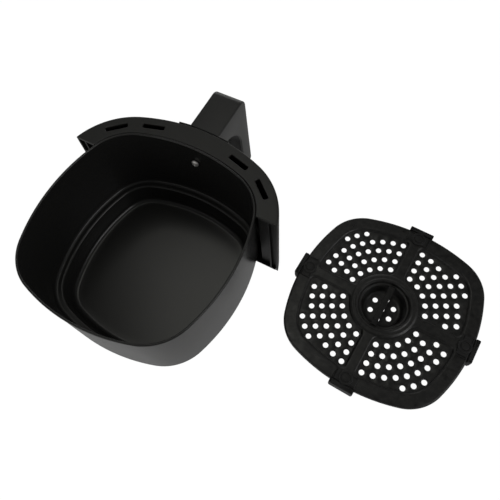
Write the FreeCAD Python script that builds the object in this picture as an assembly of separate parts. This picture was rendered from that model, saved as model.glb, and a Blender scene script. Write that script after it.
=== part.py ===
"""Drawer of a square air fryer, with its perforated crisper tray lying beside it.

Millimetres. The origin is on the table under the middle of the pan, +Z is up and
the handle points along -Y. The tray lies on the table on the -X side.
"""
import FreeCAD, Part
import math
import os

os.makedirs("parts", exist_ok=True)

V = FreeCAD.Vector
ORIGIN = V(0, 0, 0)
RIGHT = V(1, 0, 0)
UP = V(0, 0, 1)
FRONT = V(0, -1, 0)
QUARTERS = (0, 90, 180, 270)
SIDES = (-1, 1)

# Pan
rim_half = 110.0          # half the width across the rim
side_radius = 203.5       # bow of each side at the rim
corner_radius = 57.4      # corners at the rim
pan_height = 115.0
pan_sheet = 1.2
rim_bead = 2.6            # thickness of the rolled rim
wall_lean = 1.4           # inward lean of the upper wall, rim to ledge
ledge_height = 25.0       # top of the ledge that carries the tray
ledge_width = 9.2
ledge_bend = 4.0          # hollow bend above the ledge
ledge_nose = 2.0          # round bend at the inner edge of the ledge
foot_lean = 4.3           # inward lean of the lower wall, ledge to floor
floor_bend = 6.0
floor_border = 12.0       # from the foot of the wall to the plain floor

# Screw that holds the pan to its bracket
pan_screw_drop = 26.3     # below the rim
pan_screw_size = 5.0
pan_screw_head = 8.5
pan_screw_rise = 2.6
pan_screw_bevel = 6.7     # width of the head where its dome breaks
pan_screw_side = 1.6      # height of that line
pan_screw_flat = 3.4      # flat spot on the domed head
washer_size = 11.0
washer_sheet = 0.8
nut_width = 9.0
nut_height = 4.5
nut_tail = 2.0            # thread standing past the nut

# Front cover
cover_depth = 23.5        # from the rim to the front of the cover
cover_side = 17.25        # from the rim to the widest point of the corner arcs
cover_front_radius = 208.6
cover_corner_radius = 82.8
cover_end = 65.3          # the two ends stop this far in front of the pan's middle
cover_wall = 2.6
cover_flange = 3.0
cover_lean = 1.9          # inward lean of the skin, top to bottom
cover_bottom = 0.6
cover_edge_round = 1.6
cover_gap = 0.8           # open line between rim and flange
slot_length = 25.0
slot_width = 5.5
slot_inset = 12.0         # middle of a slot, in from the edge of the cover
slot_front_angle = 15.7
slot_corner_angle = 40.8
slot_round = 1.4

# Inner panel behind the cover
panel_gap = 2.0           # from the rim's outline to the panel
panel_wall = 2.0
panel_bottom = 1.0
panel_lip = 12.0          # the panel's floor reaches this far in under the rim
end_recess = 4.0          # end walls stand back from the ends of the skin
rib_wall = 2.0
rib_place = 13.3          # upright rib, out from the pan side of an end wall
boss_angles = (9.0, 22.6)
boss_inset = 14.5         # middle of a boss, in from the edge of the cover
boss_size = 7.0
boss_length = 8.0
ear_margin = 1.0          # of an ear round its boss

# Bracket between pan and handle
bracket_web = 16.0        # width of the web that lies on the pan
bracket_width = 35.0
bracket_margin = 7.0      # above the handle screws and below the pan screw
bracket_sheet = 1.5

# Handle
handle_width = 36.4
handle_out = 58.3         # from the cover to the front of the grip, at the top
handle_lean = 1.0         # the front of the grip leans out towards its foot
handle_bottom = 2.6
handle_wall = 2.4
handle_top_round = 10.0
handle_toe_round = 4.0
handle_heel_round = 2.4
handle_side_round = 1.8
arm_depth = 24.0
arch_radius = 36.0
grip_thickness = 18.0
grip_taper = 2.0
collar_width = 62.0
collar_depth = 30.0
collar_rise = 1.5
bulkhead = 4.0
grip_boss_size = 7.0
grip_screw_margin = 14.0  # from the ends of the straight grip

# Small screws
screw_size = 3.0
screw_head = 5.6
screw_rise = 1.8
panel_screw_length = 8.0
handle_screw_length = 14.0
handle_screw_place = 11.6
grip_screw_sink = 1.2     # floor of the recess, from the finger face

# Crisper tray
tray_gap = 15.35          # sideways from the cover to the nearest clip
tray_y = -76.6
tray_turn = -2.8
plate_inset = 10.0        # from the rim's outline to the edge of the plate
plate_sheet = 1.0
brim_height = 15.4
brim_width = 15.9
skirt_depth = 4.0
skirt_bend = 2.2
field_depth = 2.5         # the four perforated fields are pressed down
field_slope = 1.0
field_lap = 0.6
field_corner = 5.0
spoke_width = 13.0
hub_radius = 37.0
hole_size = 6.3
hole_pitch = 11.73
hole_edge = 4.1           # least distance from a hole's middle to the field's edge
row_count = 5
row_first = 7.7           # first row, out from the hub
row_last = 6.2            # last row, in from the corner of the field
row_shift = 2.9           # every second row, along its arc

# Cup in the middle of the tray, with its lifting bar
cup_flange_width = 8.0
cup_mouth_radius = 27.6
cup_seat_radius = 24.4
cup_floor_radius = 21.4
cup_slope = 1.0
cup_step = 3.0
cup_floor_height = 1.3
cup_bend = 1.5
cup_step_bend = 0.8
cup_floor_bend = 3.0
cup_hole_size = 6.1
cup_hole_circle = 12.8
cup_hole_count = 6
bar_width = 6.4
bar_sheet = 2.0
bar_offset = 0.7
bar_crown = 3.0
bar_bend = 2.8

# Silicone clips
clip_width = 27.5
clip_proud = 4.0
clip_grip = 6.5           # the bar of a clip reaches this far over the brim
clip_lip = 1.6
clip_round = 1.6
tongue_length = 14.6      # the flat tongue of a clip, in from the edge of the plate
tongue_width = 25.4
tongue_lip = 1.0
pad_size = 16.0           # round pad of a clip, on the end of its spoke
plug_size = 9.0
plug_place = 8.5          # middle of pad and plug, in from the edge of the plate
button_size = 11.0
button_height = 2.4

# Clearances
seat = 0.15               # between curved faces that bear on each other
fit = 0.3                 # between parts that go together loosely
screw_fit = 0.3           # round a screw that passes through
thread_fit = 0.15         # round a screw that bites
past = 20.0               # cutting shapes run this far past what they cut

# Flats that stand for small curves
bend_flats = 2            # in each bend of a pressed sheet
bead_flats = 4            # round the rolled rim
press_flats = 1           # in each bend of the tray and its cup
rod_flats = 12            # round screws, bosses and bores
hole_flats = 8            # round each hole of the tray
field_flats = 5           # in each round of a field

# Places that follow from the sizes
screw_z = pan_height - pan_screw_drop
wall_middle = rim_bead / 2
wall_top = pan_height - rim_bead / 2 - math.sqrt(rim_bead ** 2 - pan_sheet ** 2) / 2
wall_inner = wall_middle + pan_sheet / 2
wall_outer = wall_middle - pan_sheet / 2
wall_slope = wall_lean / (wall_top - ledge_height)
flange_under = pan_height - cover_flange
cover_reach = rim_half + cover_depth
cover_half = rim_half + cover_side
cover_slope = cover_lean / (pan_height - cover_bottom)
front_centre = V(0, cover_front_radius - cover_reach, 0)
corner_spread = cover_front_radius - cover_corner_radius
corner_x = cover_half - cover_corner_radius
corner_y = front_centre.y - math.sqrt(corner_spread ** 2 - corner_x ** 2)
corner_join = math.degrees(math.asin(corner_x / corner_spread))
end_face = -cover_end - end_recess
ear_top = flange_under - boss_length
arm_under = pan_height - arm_depth
arm_middle = pan_height - arm_depth / 2
handle_reach = cover_reach + handle_out
handle_root = -cover_reach + past
inner_width = handle_width - handle_wall * 2
plate_edge = rim_half - plate_inset
brim_inset = plate_inset + brim_width
brim_under = brim_height - plate_sheet
field_top = brim_height - field_depth
tray_x = -cover_half - tray_gap - plate_edge - clip_proud
cup_top = brim_height + plate_sheet
cup_seat = cup_top - cup_step
clip_top = brim_height + clip_lip


def polar(radius, degrees):
    """Point at an angle from +X in the XY plane."""
    angle = math.radians(degrees)
    return V(radius * math.cos(angle), radius * math.sin(angle), 0)


def chord(radius, offset):
    """Half the width of a circle at an offset from its middle."""
    return math.sqrt(radius ** 2 - offset ** 2)


def ahead_box(width, low, high, y_far, y_near=0):
    """Box across the middle plane, between two heights and two distances along Y."""
    return Part.makeBox(width, y_near - y_far, high - low, V(-width / 2, y_far, low))


# Bent paths and sheet sections

def line(a, b):
    return Part.LineSegment(a, b).toShape()


def arc(centre, radius, start, end):
    """Arc in a level plane between two angles in degrees."""
    circle = Part.Circle(centre, UP, radius)
    return Part.ArcOfCircle(circle, math.radians(start), math.radians(end)).toShape()


def bend_points(before, corner, after, radius):
    """Start, middle and end of the arc that rounds a corner."""
    back = (before - corner).normalize()
    ahead = (after - corner).normalize()
    half = back.getAngle(ahead) / 2
    inward = (back + ahead).normalize()
    centre = corner + inward * (radius / math.sin(half))
    reach = radius / math.tan(half)
    return corner + back * reach, centre - inward * radius, corner + ahead * reach


def flat_edges(curve, flats):
    """Chords of a curve, all spanning the same share of it."""
    points = curve.discretize(flats + 1)
    return [line(a, b) for a, b in zip(points, points[1:])]


def bent_path(corners, bends, flats=0):
    """Edges of a path through corners, with each inner corner rounded by its bend.

    A bend is a true arc, or as many flats as are asked for.
    """
    edges = []
    last = corners[0]
    for before, corner, after, radius in zip(corners, corners[1:], corners[2:], bends):
        start, middle, end = bend_points(before, corner, after, radius)
        edges.append(line(last, start))
        if radius > 0:
            bend = Part.Arc(start, middle, end).toShape()
            edges += flat_edges(bend, flats) if flats else [bend]
        last = end
    edges.append(line(last, corners[-1]))
    return edges


def offset_path(corners, bends, distance, normal):
    """The same path moved to its left by a distance, seen from the normal's tip."""
    steps = [b - a for a, b in zip(corners, corners[1:])]
    shifts = [normal.cross(step).normalize() * distance for step in steps]
    moved = [corners[0] + shifts[0]]
    new_bends = []
    for i, bend in enumerate(bends):
        spread = math.cos(shifts[i].getAngle(shifts[i + 1]) / 2)
        outward = (shifts[i] + shifts[i + 1]).normalize()
        moved.append(corners[i + 1] + outward * (abs(distance) / spread))
        turns_left = normal.dot(steps[i].cross(steps[i + 1])) > 0
        tighter = turns_left == (distance > 0)
        new_bends.append(max(bend - abs(distance), 0) if tighter else bend + abs(distance))
    moved.append(corners[-1] + shifts[-1])
    return moved, new_bends


def sheet_face(corners, bends, sheet, normal, flats=0):
    """Section of a bent sheet whose material lies to the left of the path."""
    moved, new_bends = offset_path(corners, bends, sheet, normal)
    edges = bent_path(corners, bends, flats) + bent_path(moved, new_bends, flats)
    edges.append(line(corners[0], moved[0]))
    edges.append(line(corners[-1], moved[-1]))
    return Part.Face(Part.Wire(Part.sortEdges(edges)[0]))


# Small round bars and bores

def ring_wire(radius, centre, direction, flats=rod_flats):
    """Regular outline round a direction, with its corners on a radius."""
    spoke = (UP if direction.cross(UP).Length else RIGHT) * radius
    turns = [FreeCAD.Rotation(direction, 360 * i / flats) for i in range(flats)]
    corners = [centre + turn.multVec(spoke) for turn in turns]
    return Part.makePolygon(corners + corners[:1])


def rod(radius, length, start, direction=UP, flats=rod_flats):
    """Round bar or bore that starts at a point and runs along a direction."""
    return Part.Face(ring_wire(radius, start, direction, flats)).extrude(direction * length)


def tapered_rod(radii, lengths, start, direction):
    """Round bar that tapers through several radii, at lengths from its start."""
    wires = [ring_wire(radius, start + direction * length, direction)
             for radius, length in zip(radii, lengths)]
    return Part.makeLoft(wires, True, True)


# The squared round outline of the pan, and everything parallel to it

def outline_arcs():
    """Centre, radius and angles of the four sides and four corners at the rim."""
    side_centre = rim_half - side_radius
    across = 2 * (side_radius - corner_radius) ** 2 - side_centre ** 2
    corner_centre = (side_centre + math.sqrt(across)) / 2
    join = math.degrees(math.atan2(corner_centre, corner_centre - side_centre))
    arcs = []
    for turn in QUARTERS:
        corner = polar(corner_centre * math.sqrt(2), turn + 45)
        arcs.append((polar(side_centre, turn), side_radius, turn - join, turn + join))
        arcs.append((corner, corner_radius, turn + join, turn + 90 - join))
    return arcs


def outline_corner(inset):
    """Distance from the middle to the outline along its diagonal."""
    centre, radius, start, end = outline_arcs()[1]
    return centre.Length + radius - inset


def outline_wire(inset, z):
    edges = [arc(centre + UP * z, radius - inset, start, end)
             for centre, radius, start, end in outline_arcs()]
    return Part.Wire(edges)


def inset_point(inset, z):
    """Point of a section whose X runs outwards from the rim's outline."""
    return V(-inset, 0, z)


def swept_faces(edges):
    """Faces made by taking the edges of a section round the outline."""
    faces = []
    for centre, radius, start, end in outline_arcs():
        for edge in edges:
            placed = edge.copy()
            placed.translate(V(radius, 0, 0))
            placed.rotate(ORIGIN, UP, start)
            placed.translate(centre)
            faces.append(placed.revolve(centre, UP, end - start))
    return faces


def solid_from(faces):
    shell = Part.Shell(faces)
    shell.sewShape()
    solid = Part.Solid(shell)
    if solid.Volume < 0:
        solid.reverse()
    return solid


def outline_block(inset_low, z_low, inset_high, z_high):
    """Solid between two parallel outlines at two heights."""
    side = line(inset_point(inset_low, z_low), inset_point(inset_high, z_high))
    caps = [Part.Face(outline_wire(inset_low, z_low)), Part.Face(outline_wire(inset_high, z_high))]
    return solid_from(swept_faces([side]) + caps)


def upright_block(inset, z_low, z_high):
    return outline_block(inset, z_low, inset, z_high)


# Pan

def pan():
    wall_low = wall_inner + wall_lean
    ledge_in = wall_low + ledge_width
    foot = ledge_in + foot_lean
    floor_join = foot + floor_border
    corners = [
        inset_point(floor_join, pan_sheet),
        inset_point(foot, pan_sheet),
        inset_point(ledge_in, ledge_height),
        inset_point(wall_low, ledge_height),
        inset_point(wall_inner, wall_top),
    ]
    bends = [floor_bend, ledge_nose, ledge_bend]
    outer, outer_bends = offset_path(corners, bends, -pan_sheet, FRONT)
    outer[-1] = inset_point(wall_outer, wall_top)
    bead = Part.Arc(corners[-1], inset_point(wall_middle, pan_height), outer[-1]).toShape()
    section = bent_path(corners, bends, bend_flats) + flat_edges(bead, bead_flats)
    faces = swept_faces(section + bent_path(outer, outer_bends, bend_flats))
    faces.append(Part.Face(outline_wire(floor_join, pan_sheet)))
    faces.append(Part.Face(outline_wire(floor_join, 0)))
    return solid_from(faces).cut(pan_screw_bore())


def wall_inset(base, z):
    """Inset of a face of the upper wall at a height, from its inset at the top."""
    return base + wall_slope * (wall_top - z)


def pan_wall_block(grow):
    """The space of the upper wall and all inside it, grown outwards."""
    low = ledge_height - past
    high = wall_top + past
    return outline_block(wall_inset(wall_outer, low) - grow, low, wall_inset(wall_outer, high) - grow, high)


def pan_screw_bore():
    return rod(pan_screw_size / 2 + screw_fit, past * 2, V(0, past - rim_half, screw_z), FRONT)


def washer_back():
    """Face of the washer that lies towards the pan wall."""
    return wall_inset(wall_inner, screw_z) - rim_half + seat


def pan_screw():
    seat_point = V(0, washer_back() + washer_sheet, screw_z)
    end_y = nut_back() - nut_height - nut_tail
    radii = [pan_screw_head / 2, pan_screw_bevel / 2, pan_screw_flat / 2]
    head = tapered_rod(radii, [0, pan_screw_side, pan_screw_rise], seat_point, -FRONT)
    shank = rod(pan_screw_size / 2, seat_point.y - end_y, seat_point, FRONT)
    return head.fuse(shank).removeSplitter()


def pan_screw_washer():
    start = V(0, washer_back() + washer_sheet, screw_z)
    disc = rod(washer_size / 2, washer_sheet, start, FRONT)
    return disc.cut(rod(pan_screw_size / 2 + thread_fit, washer_sheet, start, FRONT))


def nut_back():
    """Face of the nut that lies on the bracket."""
    return wall_inset(wall_outer, screw_z + nut_width / 2) - rim_half - seat * 2 - bracket_sheet - seat


def pan_nut():
    corner = nut_width / math.sqrt(3)
    outline = Part.makePolygon([polar(corner, degrees) for degrees in range(30, 391, 60)])
    nut = Part.Face(outline).extrude(UP * nut_height)
    nut = nut.cut(rod(pan_screw_size / 2 + thread_fit, nut_height, ORIGIN))
    nut.rotate(ORIGIN, RIGHT, 90)
    nut.translate(V(0, nut_back(), screw_z))
    return nut


# Front cover

def cover_outline(inset, z, end_y):
    """Left corner arc, front arc, right corner arc and a straight back edge."""
    radius = cover_corner_radius - inset
    stop = math.degrees(math.asin((end_y - corner_y) / radius))
    height = UP * z
    edges = [
        arc(V(-corner_x, corner_y, z), radius, 180 - stop, 270 - corner_join),
        arc(front_centre + height, cover_front_radius - inset, 270 - corner_join, 270 + corner_join),
        arc(V(corner_x, corner_y, z), radius, 270 + corner_join, 360 + stop),
    ]
    edges.append(line(edges[-1].Vertexes[-1].Point, edges[0].Vertexes[0].Point))
    return Part.Wire(edges)


def cover_block(inset, z_low, z_high, end_y=-cover_end):
    """Solid inside the leaning skin of the cover, moved in by an inset."""
    wires = [cover_outline(inset + cover_slope * (pan_height - z), z, end_y) for z in (z_low, z_high)]
    return Part.makeLoft(wires, True, True)


def cover_y(inset, x, z):
    """Place of the leaning front face along Y, moved in by an inset."""
    radius = cover_front_radius - inset - cover_slope * (pan_height - z)
    return front_centre.y - chord(radius, x)


def slot_cutter(centre, radius, degrees):
    """Slot round a centre, at an angle from straight ahead."""
    sweep = math.degrees(slot_length / radius)
    corner = V(radius - slot_width / 2, 0, flange_under - cover_flange)
    section = Part.makePlane(slot_width, cover_flange * 3, corner, FRONT, RIGHT)
    section.rotate(ORIGIN, UP, 270 + degrees - sweep / 2)
    cutter = section.revolve(ORIGIN, UP, sweep)
    cutter.translate(centre)
    upright = [edge for edge in cutter.Edges if edge.BoundBox.ZLength > cover_flange]
    return cutter.makeChamfer(slot_round, upright)


def slots():
    cutters = []
    for side in SIDES:
        corner = V(side * corner_x, corner_y, 0)
        cutters.append(slot_cutter(front_centre, cover_front_radius - slot_inset, side * slot_front_angle))
        cutters.append(slot_cutter(corner, cover_corner_radius - slot_inset, side * slot_corner_angle))
    return cutters


def boss_places():
    """Middles of the screw bosses under the flange."""
    radius = cover_front_radius - boss_inset
    return [front_centre + polar(radius, 270 + side * degrees) for degrees in boss_angles for side in SIDES]


def handle_screw_bores(radius):
    """Bores for the two screws that hold bracket, cover and handle together."""
    length = handle_screw_length + past
    return [rod(radius, length, V(side * handle_screw_place, handle_root, arm_middle), FRONT)
            for side in SIDES]


def front_cover():
    outer = cover_block(0, cover_bottom, pan_height)
    top_edges = [edge for edge in outer.Edges
                 if edge.BoundBox.ZMin > flange_under and edge.BoundBox.YMin < -cover_end - cover_wall]
    outer = outer.makeChamfer(cover_edge_round, top_edges)
    hollow = cover_block(cover_wall, cover_bottom - past, flange_under, past - cover_end)
    opening = upright_block(-cover_gap, -past, pan_height + past)
    skin = outer.cut([hollow, opening] + slots())
    bosses = []
    pilots = []
    for place in boss_places():
        start = place + UP * flange_under
        bosses.append(rod(boss_size / 2, boss_length, start, -UP))
        pilots.append(rod(screw_size / 2 + thread_fit, boss_length, start, -UP))
    bores = pilots + handle_screw_bores(screw_size / 2 + screw_fit)
    return skin.fuse(bosses).cut(bores).removeSplitter()


# Inner panel

def rib(side):
    """Upright rib on the outside of an end wall."""
    centre, radius, start, end = outline_arcs()[1]
    pan_half = centre.x + chord(radius + panel_gap, end_face + centre.y)
    corner = V(side * (pan_half + rib_place) - rib_wall / 2, end_face, panel_bottom)
    return Part.makeBox(rib_wall, end_recess - fit, flange_under - panel_bottom, corner)


def ear(place):
    """Flat ear that carries a boss, reaching forward from the panel."""
    width = boss_size + ear_margin * 2
    round_end = rod(width / 2, panel_wall, place + UP * ear_top, -UP)
    arm = Part.makeBox(boss_inset + panel_gap, width, panel_wall, V(0, -width / 2, ear_top - panel_wall))
    arm.rotate(ORIGIN, UP, math.degrees(math.atan2(-place.y, -place.x)))
    arm.translate(place)
    return round_end.fuse(arm)


def inner_panel():
    wide = cover_half * 2
    far = -cover_reach
    pan_side = upright_block(-panel_gap, panel_bottom - past, pan_height)
    foot_side = upright_block(panel_lip, panel_bottom - past, pan_height)
    front_side = upright_block(-panel_gap - panel_wall, panel_bottom, flange_under)
    back = front_side.common(ahead_box(wide, panel_bottom, flange_under, far, end_face))
    floor = ahead_box(wide, panel_bottom, panel_bottom + panel_wall, far, -cover_end)
    end_wall = ahead_box(wide, panel_bottom, flange_under, end_face - panel_wall, end_face)
    pieces = [end_wall] + [rib(side) for side in SIDES] + [ear(place) for place in boss_places()]
    inside = cover_block(cover_wall + fit, panel_bottom, flange_under, past - cover_end)
    holes = [rod(screw_size / 2 + screw_fit, boss_length, place + UP * ear_top, -UP)
             for place in boss_places()]
    low = screw_z - bracket_margin - fit
    window = ahead_box(bracket_width + fit * 2, low, flange_under, far)
    walls = back.fuse(pieces).cut(holes + [pan_side, window])
    return walls.fuse(floor.cut(foot_side)).common(inside).removeSplitter()


def panel_screw(place):
    under = place + UP * (ear_top - panel_wall)
    return small_screw(under, UP, panel_screw_length, screw_rise)


def small_screw(seat_point, direction, length, rise):
    """Screw whose head bears at a point and whose shank runs along a direction."""
    shank = rod(screw_size / 2, length, seat_point, direction)
    head = rod(screw_head / 2, rise, seat_point, -direction)
    return head.fuse(shank).removeSplitter()


# Bracket

def pan_bracket():
    low = screw_z - bracket_margin
    high = arm_middle + bracket_margin
    far = -cover_reach
    inset = cover_wall + seat
    web_zone = ahead_box(bracket_web, low, high, far)
    core_zone = ahead_box(bracket_web - bracket_sheet * 2, low, high, far)
    wide_zone = ahead_box(bracket_width, low, high, far)
    inside = cover_block(inset, low - fit, flange_under)
    behind = cover_block(inset + bracket_sheet, low - fit, flange_under)
    web = pan_wall_block(seat + bracket_sheet).common(web_zone)
    cheeks = inside.common(web_zone).cut(core_zone)
    flanges = inside.cut(behind).common(wide_zone).cut(core_zone)
    bores = handle_screw_bores(screw_size / 2 + screw_fit) + [pan_screw_bore(), pan_wall_block(seat)]
    return web.fuse([cheeks, flanges]).cut(bores).removeSplitter()


def handle_screw(side):
    """Screw from the bracket through the cover into the root of the handle."""
    widest = handle_screw_place + screw_head / 2
    y = cover_y(cover_wall + seat + bracket_sheet, widest, arm_middle + screw_head / 2) + seat
    start = V(side * handle_screw_place, y, arm_middle)
    return small_screw(start, FRONT, handle_screw_length, screw_rise)


# Handle

def side_point(y, z):
    return V(0, y, z)


def handle_corners():
    """Side view of the handle, from the top of its root round the grip and back."""
    return [
        side_point(handle_root, pan_height),
        side_point(-handle_reach, pan_height),
        side_point(-handle_reach - handle_lean, handle_bottom),
        side_point(-handle_reach + grip_thickness - grip_taper, handle_bottom),
        side_point(-handle_reach + grip_thickness, arm_under),
        side_point(handle_root, arm_under),
    ]


def slab(edges, width):
    """A closed side view given a width, centred on the middle plane."""
    solid = Part.Face(Part.Wire(Part.sortEdges(edges)[0])).extrude(V(width, 0, 0))
    solid.translate(V(-width / 2, 0, 0))
    return solid


def handle_body():
    corners = handle_corners()
    bends = [handle_top_round, handle_toe_round, handle_heel_round, arch_radius]
    body = slab(bent_path(corners, bends) + [line(corners[-1], corners[0])], handle_width)
    long_edges = [edge for edge in body.Edges
                  if edge.BoundBox.XLength < fit and edge.BoundBox.YMin < handle_root - fit]
    return body.makeChamfer(handle_side_round, long_edges)


def handle_hollow():
    """Space inside the shell, open towards the fingers."""
    top = pan_height - handle_wall
    foot = handle_bottom + handle_wall
    corners = [
        side_point(handle_root, top),
        side_point(handle_wall - handle_reach, top),
        side_point(handle_wall - handle_reach - handle_lean, foot),
        side_point(handle_root, foot),
    ]
    edges = bent_path(corners, [handle_top_round - handle_wall, handle_toe_round - handle_wall])
    return slab(edges + [line(corners[-1], corners[0])], inner_width)


def cover_front(grow):
    """The cover's leaning front, grown outwards and past both ends of the handle."""
    return cover_block(-grow, -past, pan_height + past)


def grip_face(z):
    """Place of the finger face of the grip along Y, below the arch."""
    rise = (z - handle_bottom) / (arm_under - handle_bottom)
    return -handle_reach + grip_thickness - grip_taper * (1 - rise)


def grip_screw_heights():
    low = handle_bottom + grip_screw_margin
    return (low, max(low + screw_head * 2, arm_under - arch_radius - grip_screw_margin / 2))


def grip_boss(z):
    start = V(0, handle_wall / 2 - handle_reach, z)
    length = grip_face(z) - handle_wall - fit - start.y
    boss = rod(grip_boss_size / 2, length, start, -FRONT)
    return boss.cut(rod(screw_size / 2 + thread_fit, length, start, -FRONT))


def handle_boss(side):
    """Boss behind the bulkhead for a handle screw."""
    start = V(side * handle_screw_place, -cover_reach, arm_middle)
    return rod(grip_boss_size / 2, handle_screw_length - bulkhead, start, FRONT)


def liner_strip(width, grow):
    """Bent strip along the finger side, with its hidden faces grown outwards."""
    foot = handle_bottom + handle_wall + fit - grow
    corners = [side_point(grip_face(foot), foot)] + handle_corners()[4:]
    section = sheet_face(corners, [arch_radius], handle_wall + grow, -RIGHT)
    solid = section.extrude(V(width, 0, 0))
    solid.translate(V(-width / 2, 0, 0))
    return solid


def handle_shell():
    collar_zone = ahead_box(collar_width, pan_height - collar_depth, pan_height, -handle_reach)
    collar = cover_front(seat + collar_rise).common(collar_zone)
    root_zone = ahead_box(handle_width - handle_wall, arm_under, pan_height - handle_wall / 2, -handle_reach)
    root = cover_front(seat + bulkhead).common(root_zone)
    bosses = [grip_boss(z) for z in grip_screw_heights()] + [handle_boss(side) for side in SIDES]
    shell = handle_body().cut(handle_hollow()).fuse([collar, root] + bosses)
    bores = handle_screw_bores(screw_size / 2 + thread_fit)
    return shell.cut([cover_front(seat), liner_strip(inner_width, fit)] + bores).removeSplitter()


def handle_liner():
    cuts = [cover_front(seat + fit)]
    for z in grip_screw_heights():
        start = V(0, grip_face(z) + fit, z)
        cuts.append(rod(screw_size / 2 + screw_fit, handle_wall * 2, start, FRONT))
        cuts.append(rod(screw_head / 2 + screw_fit, grip_screw_sink + fit, start, FRONT))
    return liner_strip(inner_width - fit * 2, 0).cut(cuts)


def grip_screw(z):
    """Screw through the liner into its boss, short of the front wall."""
    start = V(0, grip_face(z) - grip_screw_sink + seat, z)
    length = start.y + handle_reach - handle_wall - fit
    return small_screw(start, FRONT, length, grip_screw_sink - seat)


# Crisper tray, drawn round its own middle and then laid beside the pan

def lay_tray(shape):
    placed = shape.copy()
    placed.rotate(ORIGIN, UP, tray_turn)
    placed.translate(V(tray_x, tray_y, 0))
    return placed


def turned(shape, degrees):
    copy = shape.copy()
    copy.rotate(ORIGIN, UP, degrees)
    return copy


def field_face():
    """Plan of one perforated field, in the quarter between +X and +Y."""
    inside = Part.Face(outline_wire(brim_inset, 0))
    corner = V(spoke_width / 2, spoke_width / 2, 0)
    quarter = Part.makePlane(rim_half * 2, rim_half * 2, corner)
    hub = Part.Face(Part.Wire(Part.makeCircle(hub_radius)))
    plan = inside.common(quarter).cut(hub).Faces[0]
    return plan.makeOffset2D(-field_corner).makeOffset2D(field_corner)


def field_wire(field, grow, z):
    """Outline of a field moved outwards, with its rounds made of flats."""
    outline = field.makeOffset2D(grow).OuterWire if grow else field.OuterWire
    edges = []
    for edge in outline.OrderedEdges:
        edges += [edge] if isinstance(edge.Curve, Part.Line) else flat_edges(edge, field_flats)
    wire = Part.Wire(Part.sortEdges(edges)[0])
    wire.translate(UP * z)
    return wire


def field_block(field, grow_low, z_low, grow_high, z_high):
    wires = [field_wire(field, grow_low, z_low), field_wire(field, grow_high, z_high)]
    return Part.makeLoft(wires, True, True)


def row_places(radius, count, shift):
    first = shift - hole_pitch * (count - 1) / 2
    return [polar(radius, 45 + math.degrees((first + hole_pitch * i) / radius)) for i in range(count)]


def hole_places(field, hand):
    """Hole middles: arcs round the hub, each as full as the field allows."""
    inside = field.makeOffset2D(-hole_edge).Faces[0]
    first = hub_radius + row_first
    last = outline_corner(brim_inset) - row_last
    places = []
    for row in range(row_count):
        radius = first + (last - first) * row / (row_count - 1)
        shift = hand * row_shift * (row % 2)
        count = int(radius * math.pi / 2 / hole_pitch)
        while not all(inside.isInside(place, seat, True) for place in row_places(radius, count, shift)):
            count -= 1
        places += row_places(radius, count, shift)
    return places


def dished_field(field, hand):
    """One sunken field; the hand says which way its shifted rows are moved."""
    low = field_top - plate_sheet
    dish = field_block(field, field_lap - field_slope, low, field_lap, brim_height)
    hollow = field_block(field, -field_slope, field_top, 0, brim_height)
    places = hole_places(field, hand)
    return dish.cut([hollow] + [rod(hole_size / 2, brim_height, place, UP, hole_flats) for place in places])


def brim():
    corners = [
        inset_point(brim_inset, brim_height),
        inset_point(plate_inset, brim_height),
        inset_point(plate_inset, brim_height - skirt_depth),
    ]
    section = sheet_face(corners, [skirt_bend], -plate_sheet, FRONT, press_flats)
    return solid_from(swept_faces(section.OuterWire.Edges))


def crisper_plate():
    field = field_face()
    left_dish, right_dish = [dished_field(field, hand) for hand in SIDES]
    dishes = [turned(dish, degrees) for dish, degrees in zip([right_dish, left_dish] * 2, QUARTERS)]
    window = Part.Face(field_wire(field, 0, 0)).extrude(UP * brim_height)
    middle = upright_block(brim_inset, brim_under, brim_height)
    middle = middle.cut([turned(window, degrees) for degrees in QUARTERS])
    plate = brim().fuse(middle).fuse(dishes)
    mouth = Part.makeCylinder(cup_mouth_radius + plate_sheet + fit, brim_height)
    plugs = [rod(plug_size / 2 + seat * 2, brim_height, polar(plate_edge - plug_place, degrees))
             for degrees in QUARTERS]
    return plate.cut([mouth] + plugs).removeSplitter()


def lift_cup():
    corners = [
        V(cup_mouth_radius + cup_flange_width, 0, cup_top),
        V(cup_mouth_radius, 0, cup_top),
        V(cup_mouth_radius - cup_slope, 0, cup_seat),
        V(cup_seat_radius, 0, cup_seat),
        V(cup_floor_radius, 0, cup_floor_height),
        V(0, 0, cup_floor_height),
    ]
    bends = [cup_bend, cup_step_bend, cup_bend, cup_floor_bend]
    cup = sheet_face(corners, bends, plate_sheet, FRONT, press_flats).revolve(ORIGIN, UP, 360)
    middles = [polar(cup_hole_circle, 90 + i * 360 / cup_hole_count) for i in range(cup_hole_count)]
    return cup.cut([rod(cup_hole_size / 2, brim_height, place, UP, hole_flats)
                    for place in [ORIGIN] + middles])


def lift_bar():
    edge = bar_offset + bar_width / 2
    half = chord(cup_mouth_radius - cup_slope - cup_step_bend - fit, edge)
    foot = chord(cup_seat_radius, edge) - bar_bend / 2
    shoulder = foot - bar_crown
    rise = cup_seat + bar_crown
    corners = [V(0, -half, cup_seat), V(0, -foot, cup_seat), V(0, -shoulder, rise),
               V(0, shoulder, rise), V(0, foot, cup_seat), V(0, half, cup_seat)]
    bar = sheet_face(corners, [bar_bend] * 4, bar_sheet, RIGHT).extrude(V(bar_width, 0, 0))
    bar.translate(V(bar_offset - bar_width / 2, 0, 0))
    return bar


def plate_edge_space():
    """Space of the brim and its skirt, with room round it for silicone."""
    outer = plate_inset - seat
    low = brim_height - skirt_depth - seat
    edge = upright_block(outer, low, brim_height + seat)
    under = upright_block(plate_inset + plate_sheet + seat + skirt_bend, low - seat, brim_under - seat)
    return edge.cut(under)


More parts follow.
